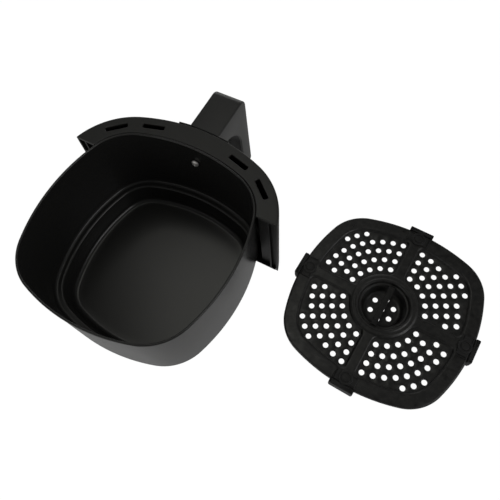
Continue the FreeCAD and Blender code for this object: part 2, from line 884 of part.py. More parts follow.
def clip():
    """Clip on the +X edge of the plate."""
    inner = plate_edge - clip_grip
    bar = Part.makeBox(clip_grip + clip_proud, clip_width, clip_top, V(inner, -clip_width / 2, 0))
    upright = [edge for edge in bar.Edges if edge.BoundBox.ZLength > clip_lip * 2]
    bar = bar.makeChamfer(clip_round, upright)
    middle = V(plate_edge - plug_place, 0, 0)
    pad = rod(pad_size / 2, clip_lip, middle + UP * brim_height)
    tongue_start = V(plate_edge - tongue_length, -tongue_width / 2, brim_height)
    tongue = Part.makeBox(tongue_length, tongue_width, tongue_lip, tongue_start)
    body = bar.fuse([pad, tongue]).cut(plate_edge_space())
    plug_low = brim_under - seat - button_height
    plug = rod(plug_size / 2, clip_top - plug_low, middle + UP * plug_low)
    button = rod(button_size / 2, button_height, middle + UP * plug_low)
    return body.fuse([plug, button]).removeSplitter()


def drawer_pieces():
    pieces = {
        "pan": pan(),
        "pan_bracket": pan_bracket(),
        "pan_screw": pan_screw(),
        "pan_screw_washer": pan_screw_washer(),
        "pan_nut": pan_nut(),
        "front_cover": front_cover(),
        "inner_panel": inner_panel(),
        "handle_shell": handle_shell(),
        "handle_liner": handle_liner(),
    }
    for number, place in enumerate(boss_places(), 1):
        pieces[f"panel_screw_{number}"] = panel_screw(place)
    for number, side in enumerate(SIDES, 1):
        pieces[f"handle_screw_{number}"] = handle_screw(side)
    for number, z in enumerate(grip_screw_heights(), 1):
        pieces[f"grip_screw_{number}"] = grip_screw(z)
    return pieces


def tray_pieces():
    pieces = {"crisper_plate": crisper_plate(), "lift_cup": lift_cup(), "lift_bar": lift_bar()}
    one = clip()
    for name, degrees in zip(("right", "rear", "left", "front"), QUARTERS):
        pieces[f"clip_{name}"] = turned(one, degrees)
    return {name: lay_tray(shape) for name, shape in pieces.items()}


for name, shape in {**drawer_pieces(), **tray_pieces()}.items():
    shape.exportStep("parts/" + name + ".step")
    print(name, len(shape.Solids), shape.isValid(), round(shape.Volume, 1))
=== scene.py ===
"""Looks of an air fryer drawer and of the crisper tray that lies beside it.

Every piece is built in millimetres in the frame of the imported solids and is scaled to
metres when its mesh is closed. The handle points along -Y and the tray lies at -X.
"""
import logging
import math
from dataclasses import dataclass, field
from enum import Enum
from typing import Iterable, Optional, Sequence, Union

import bmesh
import bpy
from mathutils import Euler, Matrix, Vector


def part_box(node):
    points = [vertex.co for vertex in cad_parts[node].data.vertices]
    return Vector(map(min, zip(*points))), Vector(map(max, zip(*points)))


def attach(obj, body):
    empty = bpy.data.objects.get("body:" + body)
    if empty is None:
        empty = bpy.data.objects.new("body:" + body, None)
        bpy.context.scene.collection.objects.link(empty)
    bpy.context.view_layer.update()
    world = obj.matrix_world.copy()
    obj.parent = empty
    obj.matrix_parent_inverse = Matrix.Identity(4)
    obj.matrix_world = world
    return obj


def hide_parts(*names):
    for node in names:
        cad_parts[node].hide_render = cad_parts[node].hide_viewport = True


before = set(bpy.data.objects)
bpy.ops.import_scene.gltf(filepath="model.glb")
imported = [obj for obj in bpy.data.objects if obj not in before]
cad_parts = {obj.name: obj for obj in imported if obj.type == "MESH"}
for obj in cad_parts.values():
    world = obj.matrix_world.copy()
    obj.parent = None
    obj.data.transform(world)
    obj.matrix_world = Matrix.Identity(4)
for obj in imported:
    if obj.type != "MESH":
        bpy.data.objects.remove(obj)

LOG = logging.getLogger("drawer")
MM = 0.001
SHARP_ANGLE = math.radians(32)
SAME_POINT = 1e-9
MERGE_DISTANCE = 1e-4
STEEPEST_MITRE = 0.5
ROUND_PULL = 0.56
BORDER_SHARES = (0.45, 0.55)
LIP_SHARES = (0.25, 0.5, 0.75)
QUARTERS = (0, 90, 180, 270)
NOISE_MIDDLE = 0.5
ORIGIN = Vector((0, 0)).freeze()
FULL_SIZE = Vector((1, 1, 1)).freeze()

# Sockets of the Mix node, by number because their names repeat
MIX_NUMBERS = (2, 3)
MIX_COLOURS = (6, 7)
MIX_COLOUR_OUT = 2

Loop = list[bmesh.types.BMVert]
Pair = tuple[float, float]
Triple = tuple[float, float, float]
Spot = tuple[Vector, Euler, Vector]
SideLines = tuple[list[Vector], list[Vector], list[Vector], list[Vector]]
Socket = bpy.types.NodeSocket
Sockets = bpy.types.bpy_prop_collection
Values = dict[Union[str, int], Union[Socket, float, int, str, tuple]]


class Body(str, Enum):
    """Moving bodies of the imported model."""

    DRAWER = "drawer"
    TRAY = "tray"


class Slot(str, Enum):
    """Material slots of the record, one named for each new piece; the script does not set them."""

    PAN = "pan_coating"
    TRAY = "tray_coating"
    COVER = "cover_plastic"
    HANDLE = "handle_plastic"
    CLIP = "clip_silicone"
    STEEL = "screw_steel"


# Plane geometry


def polar(radius: float, degrees: float) -> Vector:
    """Gives the plane point at a radius and an angle from +X."""
    angle = math.radians(degrees)
    return Vector((radius * math.cos(angle), radius * math.sin(angle)))


def lift(points: Iterable[Vector], z: float) -> list[Vector]:
    """Gives plane points a height."""
    return [Vector((p.x, p.y, z)) for p in points]


def arc_points(centre: Vector, radius: float, start: float, end: float, steps: int) -> list[Vector]:
    """Samples an arc.

    Args:
        centre: Middle of the arc.
        radius: Radius of the arc.
        start: First angle in degrees.
        end: Last angle in degrees.
        steps: Number of chords.

    Returns:
        The points from the first angle to the last, both included.
    """
    return [centre + polar(radius, start + (end - start) * i / steps) for i in range(steps + 1)]


def ring_points(centre: Vector, radius: float, count: int) -> list[Vector]:
    """Samples a full circle, starting at +X."""
    return [centre + polar(radius, 360 * i / count) for i in range(count)]


def quarter_angles(steps: int) -> list[float]:
    """Divides a right angle into equal steps, in radians."""
    return [math.radians(90 * i / steps) for i in range(steps + 1)]


def rounded_path(corners: Sequence[Pair], radii: Sequence[float], steps: int) -> list[Vector]:
    """Samples a path whose inner corners are rounded.

    Args:
        corners: Corner points of the path.
        radii: One radius for each inner corner.
        steps: Chords in each round.

    Returns:
        The points along the path.
    """
    places = [Vector(corner) for corner in corners]
    points = [places[0]]
    for before, corner, after, radius in zip(places, places[1:], places[2:], radii):
        back = (before - corner).normalized()
        ahead = (after - corner).normalized()
        half = back.angle(ahead) / 2
        centre = corner + (back + ahead).normalized() * (radius / math.sin(half))
        first = corner + back * (radius / math.tan(half)) - centre
        turn = math.pi - 2 * half
        side = 1 if back.x * ahead.y - back.y * ahead.x < 0 else -1
        for i in range(steps + 1):
            angle = side * turn * i / steps
            c, s = math.cos(angle), math.sin(angle)
            points.append(centre + Vector((c * first.x - s * first.y, s * first.x + c * first.y)))
    points.append(places[-1])
    return points


def moved_path(points: Sequence[Vector], distance: float, closed: bool = False) -> list[Vector]:
    """Moves a path to its left by a distance, keeping its point count.

    Args:
        points: Points of the path.
        distance: How far to move it, negative for its right.
        closed: Whether the last point joins the first.

    Returns:
        The moved points.
    """
    count = len(points)
    moved = []
    for i, point in enumerate(points):
        before = points[i - 1] if i or closed else None
        after = points[(i + 1) % count] if i < count - 1 or closed else None
        normals = []
        for a, b in ((before, point), (point, after)):
            if a is not None and b is not None and (b - a).length > SAME_POINT:
                step = (b - a).normalized()
                normals.append(Vector((-step.y, step.x)))
        mean = sum(normals, Vector((0, 0))).normalized()
        moved.append(point + mean * (distance / max(mean.dot(normals[0]), STEEPEST_MITRE)))
    return moved


def rolled_lip(first: Vector, last: Vector, out: Vector) -> list[Vector]:
    """Samples a bulged edge between two ends, without the ends.

    Args:
        first: End that it starts from.
        last: End that it leads to.
        out: How far and which way its middle stands out.

    Returns:
        The points in order.
    """
    return [first.lerp(last, t) + out * math.sin(math.pi * t) for t in LIP_SHARES]


def eased_corner(points: Sequence[Vector], corner: Vector, reach: float, steps: int) -> list[Vector]:
    """Rounds one corner of a closed, densely sampled loop.

    Args:
        points: Points of the loop, one of them at the corner.
        corner: The corner to round.
        reach: Distance from the corner to each end of the round.
        steps: Chords in the round.

    Returns:
        The loop, starting just after the round.
    """
    start = min(range(len(points)), key=lambda i: (points[i] - corner).length)
    order = list(points[start:]) + list(points[:start])
    kept = [p for p in order if (p - corner).length >= reach]
    first, last = kept[-1], kept[0]
    a = first.lerp(corner, ROUND_PULL)
    b = last.lerp(corner, ROUND_PULL)
    round_points = []
    for i in range(1, steps):
        t = i / steps
        u = 1 - t
        round_points.append(first * u ** 3 + a * (3 * u * u * t) + b * (3 * u * t * t) + last * t ** 3)
    return kept + round_points


@dataclass(frozen=True)
class SquaredOutline:
    """Square outline with bowed sides and round corners, and all outlines parallel to it."""

    half: float = 110.0
    side_radius: float = 203.5
    corner_radius: float = 57.4

    @property
    def side_centre(self) -> float:
        """Place of a side's centre along its own axis."""
        return self.half - self.side_radius

    @property
    def corner_centre(self) -> float:
        """Both coordinates of a corner's centre."""
        across = 2 * (self.side_radius - self.corner_radius) ** 2 - self.side_centre ** 2
        return (self.side_centre + math.sqrt(across)) / 2

    @property
    def join(self) -> float:
        """Half the angle of a side, in degrees."""
        return math.degrees(math.atan2(self.corner_centre, self.corner_centre - self.side_centre))

    def quarter(self, inset: float, turn: float, side_steps: int, corner_steps: int) -> list[Vector]:
        """Samples one side and the corner after it.

        Args:
            inset: Distance in from the outline.
            turn: Direction of the side's middle, in degrees.
            side_steps: Chords in the side.
            corner_steps: Chords in the corner.

        Returns:
            The points, without the last one.
        """
        corner = polar(self.corner_centre * math.sqrt(2), turn + 45)
        side = arc_points(polar(self.side_centre, turn), self.side_radius - inset,
                          turn - self.join, turn + self.join, side_steps)
        bend = arc_points(corner, self.corner_radius - inset,
                          turn + self.join, turn + 90 - self.join, corner_steps)
        return side[:-1] + bend[:-1]

    def ring(self, inset: float, side_steps: int = 18, corner_steps: int = 22) -> list[Vector]:
        """Samples the whole outline, moved in by an inset."""
        return [p for turn in QUARTERS for p in self.quarter(inset, turn, side_steps, corner_steps)]


# Mesh building


class ShellBuilder:
    """Collects loops, strips and flats of one closed mesh, in millimetres."""

    def __init__(self) -> None:
        """Starts with an empty mesh."""
        self.mesh = bmesh.new()

    def loop(self, points: Iterable[Vector]) -> Loop:
        """Adds the points as vertices and returns them."""
        return [self.mesh.verts.new(p) for p in points]

    def strip(self, first: Loop, second: Loop, closed: bool = True) -> None:
        """Joins two loops of the same length with quads.

        Args:
            first: One loop.
            second: The other loop.
            closed: Whether the loops close on themselves.
        """
        count = len(first)
        for i in range(count if closed else count - 1):
            j = (i + 1) % count
            self.mesh.faces.new((first[i], first[j], second[j], second[i]))

    def skin(self, rings: Sequence[Sequence[Vector]], closed: bool = True) -> list[Loop]:
        """Joins a row of rings with strips.

        Args:
            rings: Point rings of the same length.
            closed: Whether each ring closes on itself.

        Returns:
            The vertices of each ring.
        """
        loops = [self.loop(ring) for ring in rings]
        for first, second in zip(loops, loops[1:]):
            self.strip(first, second, closed)
        return loops

    def flat(self, outlines: Sequence[Loop]) -> None:
        """Fills the flat area between an outer loop and the holes in it.

        Args:
            outlines: The outer loop and any holes, each closed.
        """
        edges = []
        for outline in outlines:
            for a, b in zip(outline, outline[1:] + outline[:1]):
                edge = self.mesh.edges.get((a, b)) or self.mesh.edges.new((a, b))
                edge.smooth = False
                edges.append(edge)
        bmesh.ops.triangle_fill(self.mesh, edges=edges, use_beauty=True, use_dissolve=False)

    def cap(self, outline: Loop, edge_round: float = 0.0) -> None:
        """Closes a loop with one face and may soften its border.

        Args:
            outline: The loop to close.
            edge_round: Width and height of the softened border.
        """
        face = self.mesh.faces.new(outline)
        if edge_round:
            for share in BORDER_SHARES:
                self.mesh.normal_update()
                bmesh.ops.inset_region(self.mesh, faces=[face], thickness=edge_round * (1 - share),
                                       depth=edge_round * share, use_even_offset=True)

    def solid(self, rings: Sequence[Sequence[Vector]], edge_round: float = 0.0) -> None:
        """Skins a row of rings and closes both ends.

        Args:
            rings: Point rings of the same length.
            edge_round: Width and height of the softened borders of the ends.
        """
        loops = self.skin(rings)
        self.cap(loops[0], edge_round)
        self.cap(loops[-1], edge_round)

    def piece(self, name: str, material: bpy.types.Material,
              place: Optional[Matrix] = None) -> bpy.types.Object:
        """Closes the mesh and makes its object.

        Args:
            name: Name of the object.
            material: Material of every face.
            place: Where the mesh goes, in millimetres.

        Returns:
            The object, in metres at the origin.
        """
        bmesh.ops.remove_doubles(self.mesh, verts=self.mesh.verts, dist=MERGE_DISTANCE)
        bmesh.ops.recalc_face_normals(self.mesh, faces=self.mesh.faces)
        for edge in self.mesh.edges:
            if len(edge.link_faces) == 2 and edge.calc_face_angle(0) > SHARP_ANGLE:
                edge.smooth = False
        for face in self.mesh.faces:
            face.smooth = True
        if place is not None:
            self.mesh.transform(place)
        self.mesh.transform(Matrix.Scale(MM, 4))
        data = bpy.data.meshes.new(name)
        self.mesh.to_mesh(data)
        self.mesh.free()
        data.materials.append(material)
        return add_object(name, data)


def add_object(name: str, data: bpy.types.ID) -> bpy.types.Object:
    """Links a new object to the scene.

    Args:
        name: Name of the object.
        data: Its mesh, lamp or camera.

    Returns:
        The object.
    """
    made = bpy.data.objects.new(name, data)
    bpy.context.scene.collection.objects.link(made)
    return made


def settle(made: bpy.types.Object) -> bpy.types.Object:
    """Turns an object's modifiers into plain mesh.

    Args:
        made: Object whose modifiers are ready.

    Returns:
        The same object without modifiers.
    """
    graph = bpy.context.evaluated_depsgraph_get()
    data = bpy.data.meshes.new_from_object(made.evaluated_get(graph))
    made.modifiers.clear()
    made.data = data
    return made


def carve(made: bpy.types.Object, cutter: bpy.types.Object) -> bpy.types.Object:
    """Cuts one object out of another and deletes the cutter.

    Args:
        made: Object that stays.
        cutter: Object that is taken away from it.

    Returns:
        The cut object.
    """
    cut = made.modifiers.new("Cut", "BOOLEAN")
    cut.object = cutter
    cut.operation = "DIFFERENCE"
    cut.solver = "EXACT"
    settle(made)
    bpy.data.objects.remove(cutter)
    made.data.shade_smooth()
    made.data.set_sharp_from_angle(angle=SHARP_ANGLE)
    return made


def spun(profile: Sequence[Pair], count: int) -> list[list[Vector]]:
    """Makes the rings of a turned form.

    Args:
        profile: Radius and height of each ring.
        count: Points in each ring.

    Returns:
        The rings, in the order of the profile.
    """
    return [lift(ring_points(ORIGIN, radius, count), z) for radius, z in profile]


def along_y(x: float, y: float, z: float) -> Matrix:
    """Gives the place of a turned form whose axis points along +Y."""
    return Matrix.Translation((x, y, z)) @ Matrix.Rotation(math.radians(-90), 4, "X")


def hand_over(made: bpy.types.Object, body: Body, slot: Slot, nodes: Sequence[str]) -> None:
    """Gives a finished piece its body and hides the solids that it stands for.

    Args:
        made: The finished piece.
        body: Body that carries it.
        slot: Material slot of the record; not used.
        nodes: Solids that it replaces.
    """
    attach(made, body.value)
    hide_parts(*nodes)
    LOG.info("%s: %d faces, for %s", made.name, len(made.data.polygons), ", ".join(nodes))


# Node trees


class NodeSketch:
    """Adds and links the nodes of one tree."""

    def __init__(self, tree: bpy.types.NodeTree) -> None:
        """Keeps the tree that is drawn."""
        self.tree = tree

    def feed(self, node: bpy.types.Node, values: Values) -> None:
        """Links sockets to a node's inputs, or sets values on them.

        Args:
            node: Node that is fed.
            values: Sockets and values, by input name or number.
        """
        for key, value in values.items():
            if isinstance(value, Socket):
                self.tree.links.new(value, node.inputs[key])
            else:
                node.inputs[key].default_value = value

    def add(self, kind: str, values: Optional[Values] = None, **settings: object) -> bpy.types.Node:
        """Adds a node.

        Args:
            kind: Type name of the node.
            values: What its inputs are fed with.
            settings: Properties of the node.

        Returns:
            The new node.
        """
        node = self.tree.nodes.new(kind)
        for name, value in settings.items():
            setattr(node, name, value)
        self.feed(node, values or {})
        return node

    def math(self, operation: str, *values: Union[Socket, float], clamp: bool = False) -> Socket:
        """Adds a math node and returns its result."""
        node = self.add("ShaderNodeMath", dict(enumerate(values)), operation=operation, use_clamp=clamp)
        return node.outputs[0]

    def group(self, tree: bpy.types.NodeTree, values: Values) -> Socket:
        """Places a shader group and returns its result."""
        return self.add("ShaderNodeGroup", values, node_tree=tree).outputs[0]

    def socket(self, name: str, way: str, kind: str, default: Optional[float] = None) -> None:
        """Adds a named socket to a group.

        Args:
            name: Name of the socket.
            way: INPUT or OUTPUT.
            kind: Type of the socket.
            default: First value of an input.
        """
        made = self.tree.interface.new_socket(name=name, in_out=way, socket_type=kind)
        if default is not None:
            made.default_value = default


def shader_group(name: str, inputs: dict[str, float], output: str) -> tuple[NodeSketch, Sockets]:
    """Starts a shader group that takes a place and numbers and gives one number.

    Args:
        name: Name of the group.
        inputs: Number inputs and their first values.
        output: Name of the number that it gives.

    Returns:
        The sketch of the group and the sockets that hold its inputs.
    """
    sketch = NodeSketch(bpy.data.node_groups.new(name, "ShaderNodeTree"))
    sketch.socket("Place", "INPUT", "NodeSocketVector")
    for key, value in inputs.items():
        sketch.socket(key, "INPUT", "NodeSocketFloat", value)
    sketch.socket(output, "OUTPUT", "NodeSocketFloat")
    return sketch, sketch.add("NodeGroupInput").outputs


class SurfaceEffects:
    """Shader groups that several finishes share."""

    def __init__(self) -> None:
        """Builds each group once."""
        self.grain = self._grain()
        self.flecks = self._flecks()
        self.smudges = self._smudges()
        self.film = self._film()

    def _grain(self) -> bpy.types.NodeTree:
        """Fine pebbled height, as on moulded plastic or a sprayed coat.

        Returns:
            The group.
        """
        sketch, given = shader_group("Fine grain", {"Cells": 1200.0, "Softness": 0.5}, "Height")
        pattern = {"Vector": given["Place"], "Scale": given["Cells"]}
        noise = sketch.add("ShaderNodeTexNoise", {**pattern, "Detail": 3.0, "Roughness": 0.6})
        cells = sketch.add("ShaderNodeTexVoronoi", pattern)
        hard, soft = MIX_NUMBERS
        mixed = sketch.add("ShaderNodeMix", {0: given["Softness"], hard: cells.outputs["Distance"],
                                             soft: noise.outputs[0]})
        sketch.add("NodeGroupOutput", {"Height": mixed.outputs[0]})
        return sketch.tree

    def _flecks(self) -> bpy.types.NodeTree:
        """Scattered tiny flecks in a coat, as a mask.

        Returns:
            The group.
        """
        sketch, given = shader_group("Coat flecks", {"Cells": 700.0, "Size": 0.12, "Share": 0.35}, "Mask")
        cells = sketch.add("ShaderNodeTexVoronoi", {"Vector": given["Place"], "Scale": given["Cells"]})
        near = sketch.math("LESS_THAN", cells.outputs["Distance"], given["Size"])
        tint = sketch.add("ShaderNodeSeparateColor", {0: cells.outputs["Color"]})
        picked = sketch.math("LESS_THAN", tint.outputs[0], given["Share"])
        sketch.add("NodeGroupOutput", {"Mask": sketch.math("MULTIPLY", near, picked)})
        return sketch.tree

    def _smudges(self) -> bpy.types.NodeTree:
        """Roughness that drifts a little to both sides over a wiped surface.

        Returns:
            The group.
        """
        sketch, given = shader_group("Wiped gloss", {"Roughness": 0.4, "Drift": 0.06, "Cells": 14.0},
                                     "Roughness")
        broad = sketch.add("ShaderNodeTexNoise", {"Vector": given["Place"], "Scale": given["Cells"],
                                                  "Detail": 4.0, "Roughness": 0.55, "Distortion": 0.6})
        centred = sketch.math("SUBTRACT", broad.outputs[0], NOISE_MIDDLE)
        drift = sketch.math("MULTIPLY", centred, sketch.math("MULTIPLY", given["Drift"], 2.0))
        drifted = sketch.math("ADD", given["Roughness"], drift, clamp=True)
        sketch.add("NodeGroupOutput", {"Roughness": drifted})
        return sketch.tree

    def _film(self) -> bpy.types.NodeTree:
        """Pale patchy film of handling, as a mask.

        Returns:
            The group.
        """
        bare, gain = 0.35, 1.6
        sketch, given = shader_group("Handling film", {"Amount": 0.1, "Cells": 60.0}, "Mask")
        broken = sketch.add("ShaderNodeTexNoise", {"Vector": given["Place"], "Scale": given["Cells"],
                                                   "Detail": 5.0, "Roughness": 0.65})
        over = sketch.math("SUBTRACT", broken.outputs[0], bare, clamp=True)
        strong = sketch.math("MULTIPLY", over, gain, clamp=True)
        sketch.add("NodeGroupOutput", {"Mask": sketch.math("MULTIPLY", strong, given["Amount"])})
        return sketch.tree


@dataclass(frozen=True)
class Finish:
    """One surface finish: a base colour with flecks or film, drifting gloss and a fine relief."""

    name: str
    colour: Triple
    second: Triple
    roughness: float
    drift: float = 0.06
    smudge_cells: float = 14.0
    grain_cells: float = 1500.0
    grain_softness: float = 0.5
    grain_depth: float = 0.00004
    grain_strength: float = 0.3
    metallic: float = 0.0
    specular: float = 0.5
    fleck_cells: float = 0.0
    fleck_size: float = 0.12
    fleck_share: float = 0.3
    film: float = 0.1
    film_cells: float = 60.0

    def material(self, effects: SurfaceEffects) -> bpy.types.Material:
        """Builds the material.

        Args:
            effects: The shared shader groups.

        Returns:
            The finished material.
        """
        made = bpy.data.materials.new(self.name)
        made.use_nodes = True
        made.diffuse_color = (*self.colour, 1)
        sketch = NodeSketch(made.node_tree)
        place = sketch.add("ShaderNodeTexCoord").outputs["Object"]
        colour = self._colour(sketch, effects, place)
        gloss = sketch.group(effects.smudges, {"Place": place, "Roughness": self.roughness,
                                               "Drift": self.drift, "Cells": self.smudge_cells})
        relief = sketch.add("ShaderNodeBump", {"Height": self._relief(sketch, effects, place),
                                               "Strength": self.grain_strength,
                                               "Distance": self.grain_depth})
        sketch.feed(made.node_tree.nodes["Principled BSDF"],
                    {"Base Color": colour, "Roughness": gloss, "Normal": relief.outputs[0],
                     "Metallic": self.metallic, "Specular IOR Level": self.specular})
        return made

    def _relief(self, sketch: NodeSketch, effects: SurfaceEffects, place: Socket) -> Socket:
        """Adds the fine grain and returns its height."""
        return sketch.group(effects.grain, {"Place": place, "Cells": self.grain_cells,
                                            "Softness": self.grain_softness})

    def _colour(self, sketch: NodeSketch, effects: SurfaceEffects, place: Socket) -> Socket:
        """Mixes the base colour with film and flecks.

        Args:
            sketch: Sketch of the material.
            effects: The shared shader groups.
            place: Where on the piece a point is.

        Returns:
            The colour.
        """
        mask = sketch.group(effects.film, {"Place": place, "Amount": self.film, "Cells": self.film_cells})
        if self.fleck_cells:
            flecks = sketch.group(effects.flecks, {"Place": place, "Cells": self.fleck_cells,
                                                   "Size": self.fleck_size, "Share": self.fleck_share})
            mask = sketch.math("MAXIMUM", mask, flecks)
        base, over = MIX_COLOURS
        mixed = sketch.add("ShaderNodeMix", {0: mask, base: (*self.colour, 1), over: (*self.second, 1)},
                           data_type="RGBA")
        return mixed.outputs[MIX_COLOUR_OUT]


@dataclass(frozen=True)
class TurnedSteel(Finish):
    """Bright steel with fine turning marks."""

    mark_stretch: float = 14 / 3

    def _relief(self, sketch: NodeSketch, effects: SurfaceEffects, place: Socket) -> Socket:
        """Stretches the grain into fine lines.

        Args:
            sketch: Sketch of the material.
            effects: The shared shader groups.
            place: Where on the piece a point is.

        Returns:
            The height.
        """
        scale = (self.mark_stretch, 1, self.mark_stretch)
        turned = sketch.add("ShaderNodeMapping", {"Vector": place, "Scale": scale})
        return super()._relief(sketch, effects, turned.outputs[0])


@dataclass(frozen=True)
class Finishes:
    """All materials of the part."""

    pan: bpy.types.Material
    tray: bpy.types.Material
    cover: bpy.types.Material
    handle: bpy.types.Material
    liner: bpy.types.Material
    panel: bpy.types.Material
    silicone: bpy.types.Material
    steel: bpy.types.Material
    zinc: bpy.types.Material
    painted_shade_steel: bpy.types.Material
    bar: bpy.types.Material

    @classmethod
    def mixed(cls) -> "Finishes":
        """Builds every material once.

        Returns:
            The materials.
        """
        chosen = {
            "pan": Finish("Pan coat", (0.015, 0.015, 0.0144), (0.03, 0.03, 0.029), 0.26, drift=0.012,
                          specular=0.38, grain_cells=2600, grain_strength=0.2, film=0.03,
                          fleck_cells=1500, fleck_size=0.1, fleck_share=0.12),
            "tray": Finish("Tray coat", (0.0006, 0.0006, 0.0005), (0.034, 0.033, 0.03), 0.4, drift=0.28,
                           specular=0.42, smudge_cells=150, grain_cells=1900, grain_strength=0.35,
                           film=0.75, film_cells=180, fleck_cells=900, fleck_size=0.15, fleck_share=0.25),
            "cover": Finish("Cover plastic", (0.0056, 0.0057, 0.0046), (0.016, 0.0155, 0.0145), 0.45,
                            drift=0.05, grain_cells=1700, grain_softness=0.35, film=0.15),
            "handle": Finish("Handle plastic", (0.0034, 0.0035, 0.0029), (0.01, 0.0098, 0.009), 0.42,
                             drift=0.05, specular=0.62, grain_cells=1700, grain_softness=0.35, film=0.15),
            "liner": Finish("Grip liner plastic", (0.003, 0.003, 0.0028), (0.009, 0.0088, 0.008), 0.5,
                            drift=0.05, specular=0.3, grain_cells=1300, grain_softness=0.3,
                            grain_strength=0.4, film=0.12),
            "panel": Finish("Inner panel plastic", (0.004, 0.0042, 0.0042), (0.011, 0.011, 0.0108), 0.45,
                            drift=0.05, specular=0.35, grain_softness=0.4, film=0.12),
            "silicone": Finish("Clip silicone", (0.002, 0.002, 0.0019), (0.015, 0.0148, 0.014), 0.5,
                               drift=0.12, specular=0.4, grain_cells=2200, grain_strength=0.25,
                               film=0.12, film_cells=220),
            "steel": TurnedSteel("Screw steel", (0.8, 0.79, 0.77), (0.55, 0.54, 0.53), 0.46, drift=0.08,
                                 metallic=0.8, grain_cells=1400, grain_strength=0.2, film=0.3,
                                 film_cells=500),
            "zinc": Finish("Plated sheet", (0.42, 0.42, 0.43), (0.25, 0.25, 0.26), 0.34, drift=0.14,
                           smudge_cells=90, metallic=1.0, grain_cells=500, grain_strength=0.15,
                           film=0.5, film_cells=150),
            # Dark steel for the grip screws: painted shade, so they stay dim in the shadow under the arm.
            "painted_shade_steel": Finish("Screw steel darkened as painted shade", (0.012, 0.012, 0.013), (0.03, 0.029, 0.028), 0.42,
                                drift=0.1, grain_cells=900, grain_strength=0.2, film=0.3, film_cells=400),
            "bar": Finish("Bar coat", (0.0006, 0.0006, 0.0005), (0.03, 0.029, 0.027), 0.5, drift=0.2,
                          specular=0.3, smudge_cells=380, grain_cells=1700, grain_strength=0.35,
                          film=0.5, film_cells=420),
        }
        effects = SurfaceEffects()
        return cls(**{key: finish.material(effects) for key, finish in chosen.items()})


# Geometry node trees


class PointTree:
    """Tree that sets a shape on points and gives the copies one finish."""

    def __init__(self, name: str, inputs: dict[str, str]) -> None:
        """Starts the tree.

        Args:
            name: Name of the tree.
            inputs: Name and socket type of each input besides the points and the finish.
        """
        self.sketch = NodeSketch(bpy.data.node_groups.new(name, "GeometryNodeTree"))
        for key, kind in {"Points": "NodeSocketGeometry", **inputs, "Finish": "NodeSocketMaterial"}.items():
            self.sketch.socket(key, "INPUT", kind)
        self.sketch.socket("Geometry", "OUTPUT", "NodeSocketGeometry")
        self.given = self.sketch.add("NodeGroupInput").outputs

    def close(self, values: Values) -> None:
        """Ends the tree with real, dressed copies on the points.

        Args:
            values: What the copying node is fed with besides the points.
        """
        copies = self.sketch.add("GeometryNodeInstanceOnPoints", {"Points": self.given["Points"], **values})
        real = self.sketch.add("GeometryNodeRealizeInstances", {0: copies.outputs[0]})
        dressed = self.sketch.add("GeometryNodeSetMaterial",
                                  {0: real.outputs[0], "Material": self.given["Finish"]})
        self.sketch.add("NodeGroupOutput", {0: dressed.outputs[0]})

    def grow(self, name: str, points: bpy.types.Mesh, values: dict[str, object]) -> bpy.types.Object:
        """Runs the tree on points.

        Args:
            name: Name of the new object.
            points: Mesh that holds the points.
            values: Values of the tree's inputs, by name.

        Returns:
            The copies as one plain mesh.
        """
        made = add_object(name, points)
        modifier = made.modifiers.new("Copies", "NODES")
        modifier.node_group = self.sketch.tree
        for item in self.sketch.tree.interface.items_tree:
            if item.in_out == "INPUT" and item.name in values:
                modifier[item.identifier] = values[item.name]
        return settle(made)


class CopyTree(PointTree):
    """Tree that sets copies of one shape on points, turned and sized by the points' attributes."""

    def __init__(self) -> None:
        """Builds the tree."""
        super().__init__("Copies on points", {"Shape": "NodeSocketObject"})
        shape = self.sketch.add("GeometryNodeObjectInfo", {"Object": self.given["Shape"]})
        turn, size = [self.sketch.add("GeometryNodeInputNamedAttribute", {"Name": key},
                                      data_type="FLOAT_VECTOR") for key in ("turn", "size")]
        turned = self.sketch.add("FunctionNodeEulerToRotation", {0: turn.outputs[0]})
        self.close({"Instance": shape.outputs["Geometry"], "Rotation": turned.outputs[0],
                    "Scale": size.outputs[0]})

    def place(self, name: str, shape: bpy.types.Object, material: bpy.types.Material,
              spots: Sequence[Spot]) -> bpy.types.Object:
        """Sets copies of a shape and makes them one mesh.

        Args:
            name: Name of the new object.
            shape: Shape to copy; it is deleted afterwards.
            material: Material of the copies.
            spots: Place in metres, turn and size of each copy.

        Returns:
            One object with all the copies.
        """
        points = bpy.data.meshes.new(name)
        points.from_pydata([spot for spot, _, _ in spots], [], [])
        for key, column in (("turn", 1), ("size", 2)):
            values = points.attributes.new(key, "FLOAT_VECTOR", "POINT")
            for item, spot in zip(values.data, spots):
                item.vector = tuple(spot[column])
        made = self.grow(name, points, {"Shape": shape, "Finish": material})
        bpy.data.objects.remove(shape)
        return made


@dataclass(frozen=True)
class Hole:
    """Round hole in a thin sheet, with rounded edges."""

    diameter: float
    edge_round: float
    sides: int


